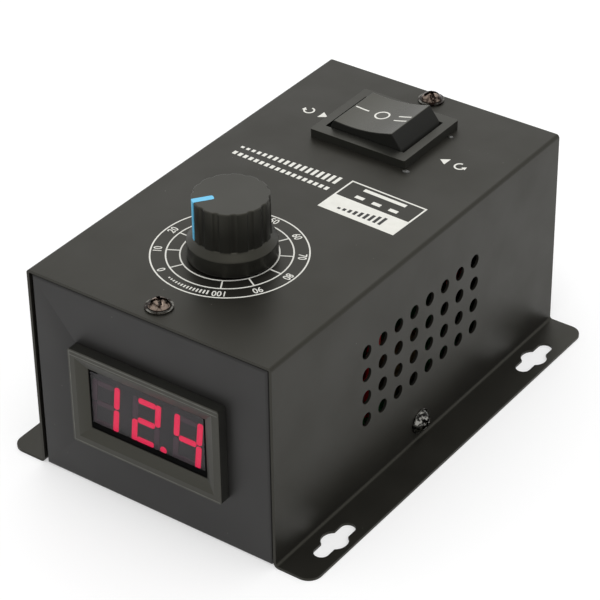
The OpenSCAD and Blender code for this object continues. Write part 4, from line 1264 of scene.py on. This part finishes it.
@dataclass
class Studio:
    """The white floor, the soft light and the camera at the photograph's place."""

    camera_at: Triple = (335.35, -460.97, 416.97)
    target: Triple = (-9.02, 10.17, 20.71)
    roll_deg: float = -0.886
    focal_px: float = 2521.3
    image_px: float = 600.0
    sensor: float = 36.0
    clip: Pair = (0.01, 20.0)
    floor_half: float = 3.0
    floor_white: str = "fcfcfc"
    floor_lift: float = 0.36
    floor_glow: float = 1.165
    world_light: float = 0.92
    lamps: tuple[tuple[Triple, float, float], ...] = (
        ((-500.0, 900.0, 1000.0), 1.2, 1.5),
        ((100.0, -100.0, 1300.0), 1.0, 3.0),
    )
    lamp_aim: Triple = (0.0, 0.0, 30.0)

    def seen(self, tree: Tree) -> Socket:
        """Tell the rays that show the background: from the camera, off a gloss or through glass.

        Args:
            tree: the tree of the world or of the floor's material.

        Returns:
            The output that is one for such a ray and zero for the others.
        """
        rays = add_node(tree, "LightPath")
        shown = (rays, "Is Camera Ray")
        for kind in ("Is Glossy Ray", "Is Transmission Ray"):
            shown = (add_node(tree, "Math", {0: shown, 1: (rays, kind)}, operation="MAXIMUM"), 0)
        return shown

    def floor(self) -> None:
        """Lay the floor, which keeps a soft shadow under a white look."""
        mesh = bmesh.new()
        bmesh.ops.create_grid(mesh, x_segments=1, y_segments=1, size=self.floor_half)
        data = bpy.data.meshes.new("studio_floor")
        mesh.to_mesh(data)
        mesh.free()
        floor = bpy.data.objects.new("studio_floor", data)
        bpy.context.scene.collection.objects.link(floor)
        paper = bpy.data.materials.new("white_paper")
        paper.use_nodes = True
        tree = paper.node_tree
        tree.nodes.clear()
        diffuse = add_node(tree, "BsdfDiffuse", {"Color": linear(self.floor_white)})
        white = add_node(tree, "Emission", {"Strength": self.floor_glow})
        levels = {0: self.seen(tree), 1: self.floor_lift}
        lift = add_node(tree, "Math", levels, operation="MULTIPLY")
        mixed = add_node(tree, "MixShader", {0: (lift, 0), 1: (diffuse, 0), 2: (white, 0)})
        add_node(tree, "OutputMaterial", {"Surface": (mixed, 0)})
        data.materials.append(paper)

    def world(self) -> None:
        """Light the scene with a tent that looks white to the camera and in what mirrors it."""
        world = bpy.data.worlds.new("white_tent")
        bpy.context.scene.world = world
        world.use_nodes = True
        tree = world.node_tree
        tree.nodes.clear()
        levels = {0: self.seen(tree), 1: 1 - self.world_light, 2: self.world_light}
        shown = add_node(tree, "Math", levels, operation="MULTIPLY_ADD")
        tent = add_node(tree, "Background", {"Color": (1, 1, 1, 1), "Strength": (shown, 0)})
        add_node(tree, "OutputWorld", {"Surface": (tent, 0)})

    def light(self) -> None:
        """Hang the soft lamps."""
        aim = Vector(self.lamp_aim) * MM
        for i, (place, size, watts) in enumerate(self.lamps):
            lamp = bpy.data.lights.new(f"soft_lamp_{i}", "AREA")
            lamp.shape = "DISK"
            lamp.size = size
            lamp.energy = watts
            holder = bpy.data.objects.new(f"soft_lamp_{i}", lamp)
            holder.location = Vector(place) * MM
            holder.rotation_euler = (aim - holder.location).to_track_quat("-Z", "Y").to_euler()
            bpy.context.scene.collection.objects.link(holder)

    def camera(self) -> None:
        """Place the camera."""
        eye = Vector(self.camera_at) * MM
        back = (eye - Vector(self.target) * MM).normalized()
        right = Vector((0, 0, 1)).cross(back).normalized()
        up = back.cross(right)
        turn = Matrix.Rotation(math.radians(self.roll_deg), 4, back)
        right, up = turn @ right, turn @ up
        data = bpy.data.cameras.new("camera")
        data.sensor_width = self.sensor
        data.lens = self.focal_px * self.sensor / self.image_px
        data.clip_start, data.clip_end = self.clip
        camera = bpy.data.objects.new("camera", data)
        turned = Matrix((right, up, back)).transposed().to_4x4()
        camera.matrix_world = Matrix.Translation(eye) @ turned
        bpy.context.scene.collection.objects.link(camera)
        bpy.context.scene.camera = camera

    def build(self) -> None:
        """Set the studio up."""
        self.floor()
        self.world()
        self.light()
        self.camera()
        bpy.context.scene.view_settings.view_transform = "Standard"


class Assembly(Protocol):
    """What builds its own pieces."""

    def build(self) -> None:
        """Build the pieces."""


def main() -> None:
    """Build the part and the studio, in order."""
    logging.basicConfig(level=logging.INFO, format="%(message)s")
    parts: tuple[Assembly, ...] = (
        Studio(),
        Casing(),
        PanelMeter(),
        SpeedKnob(),
        DirectionSwitch(),
        TopPrint(),
        PowerBoard(),
        RearTerminals(),
    )
    for part in parts:
        part.build()


if __name__ == "__main__":
    main()
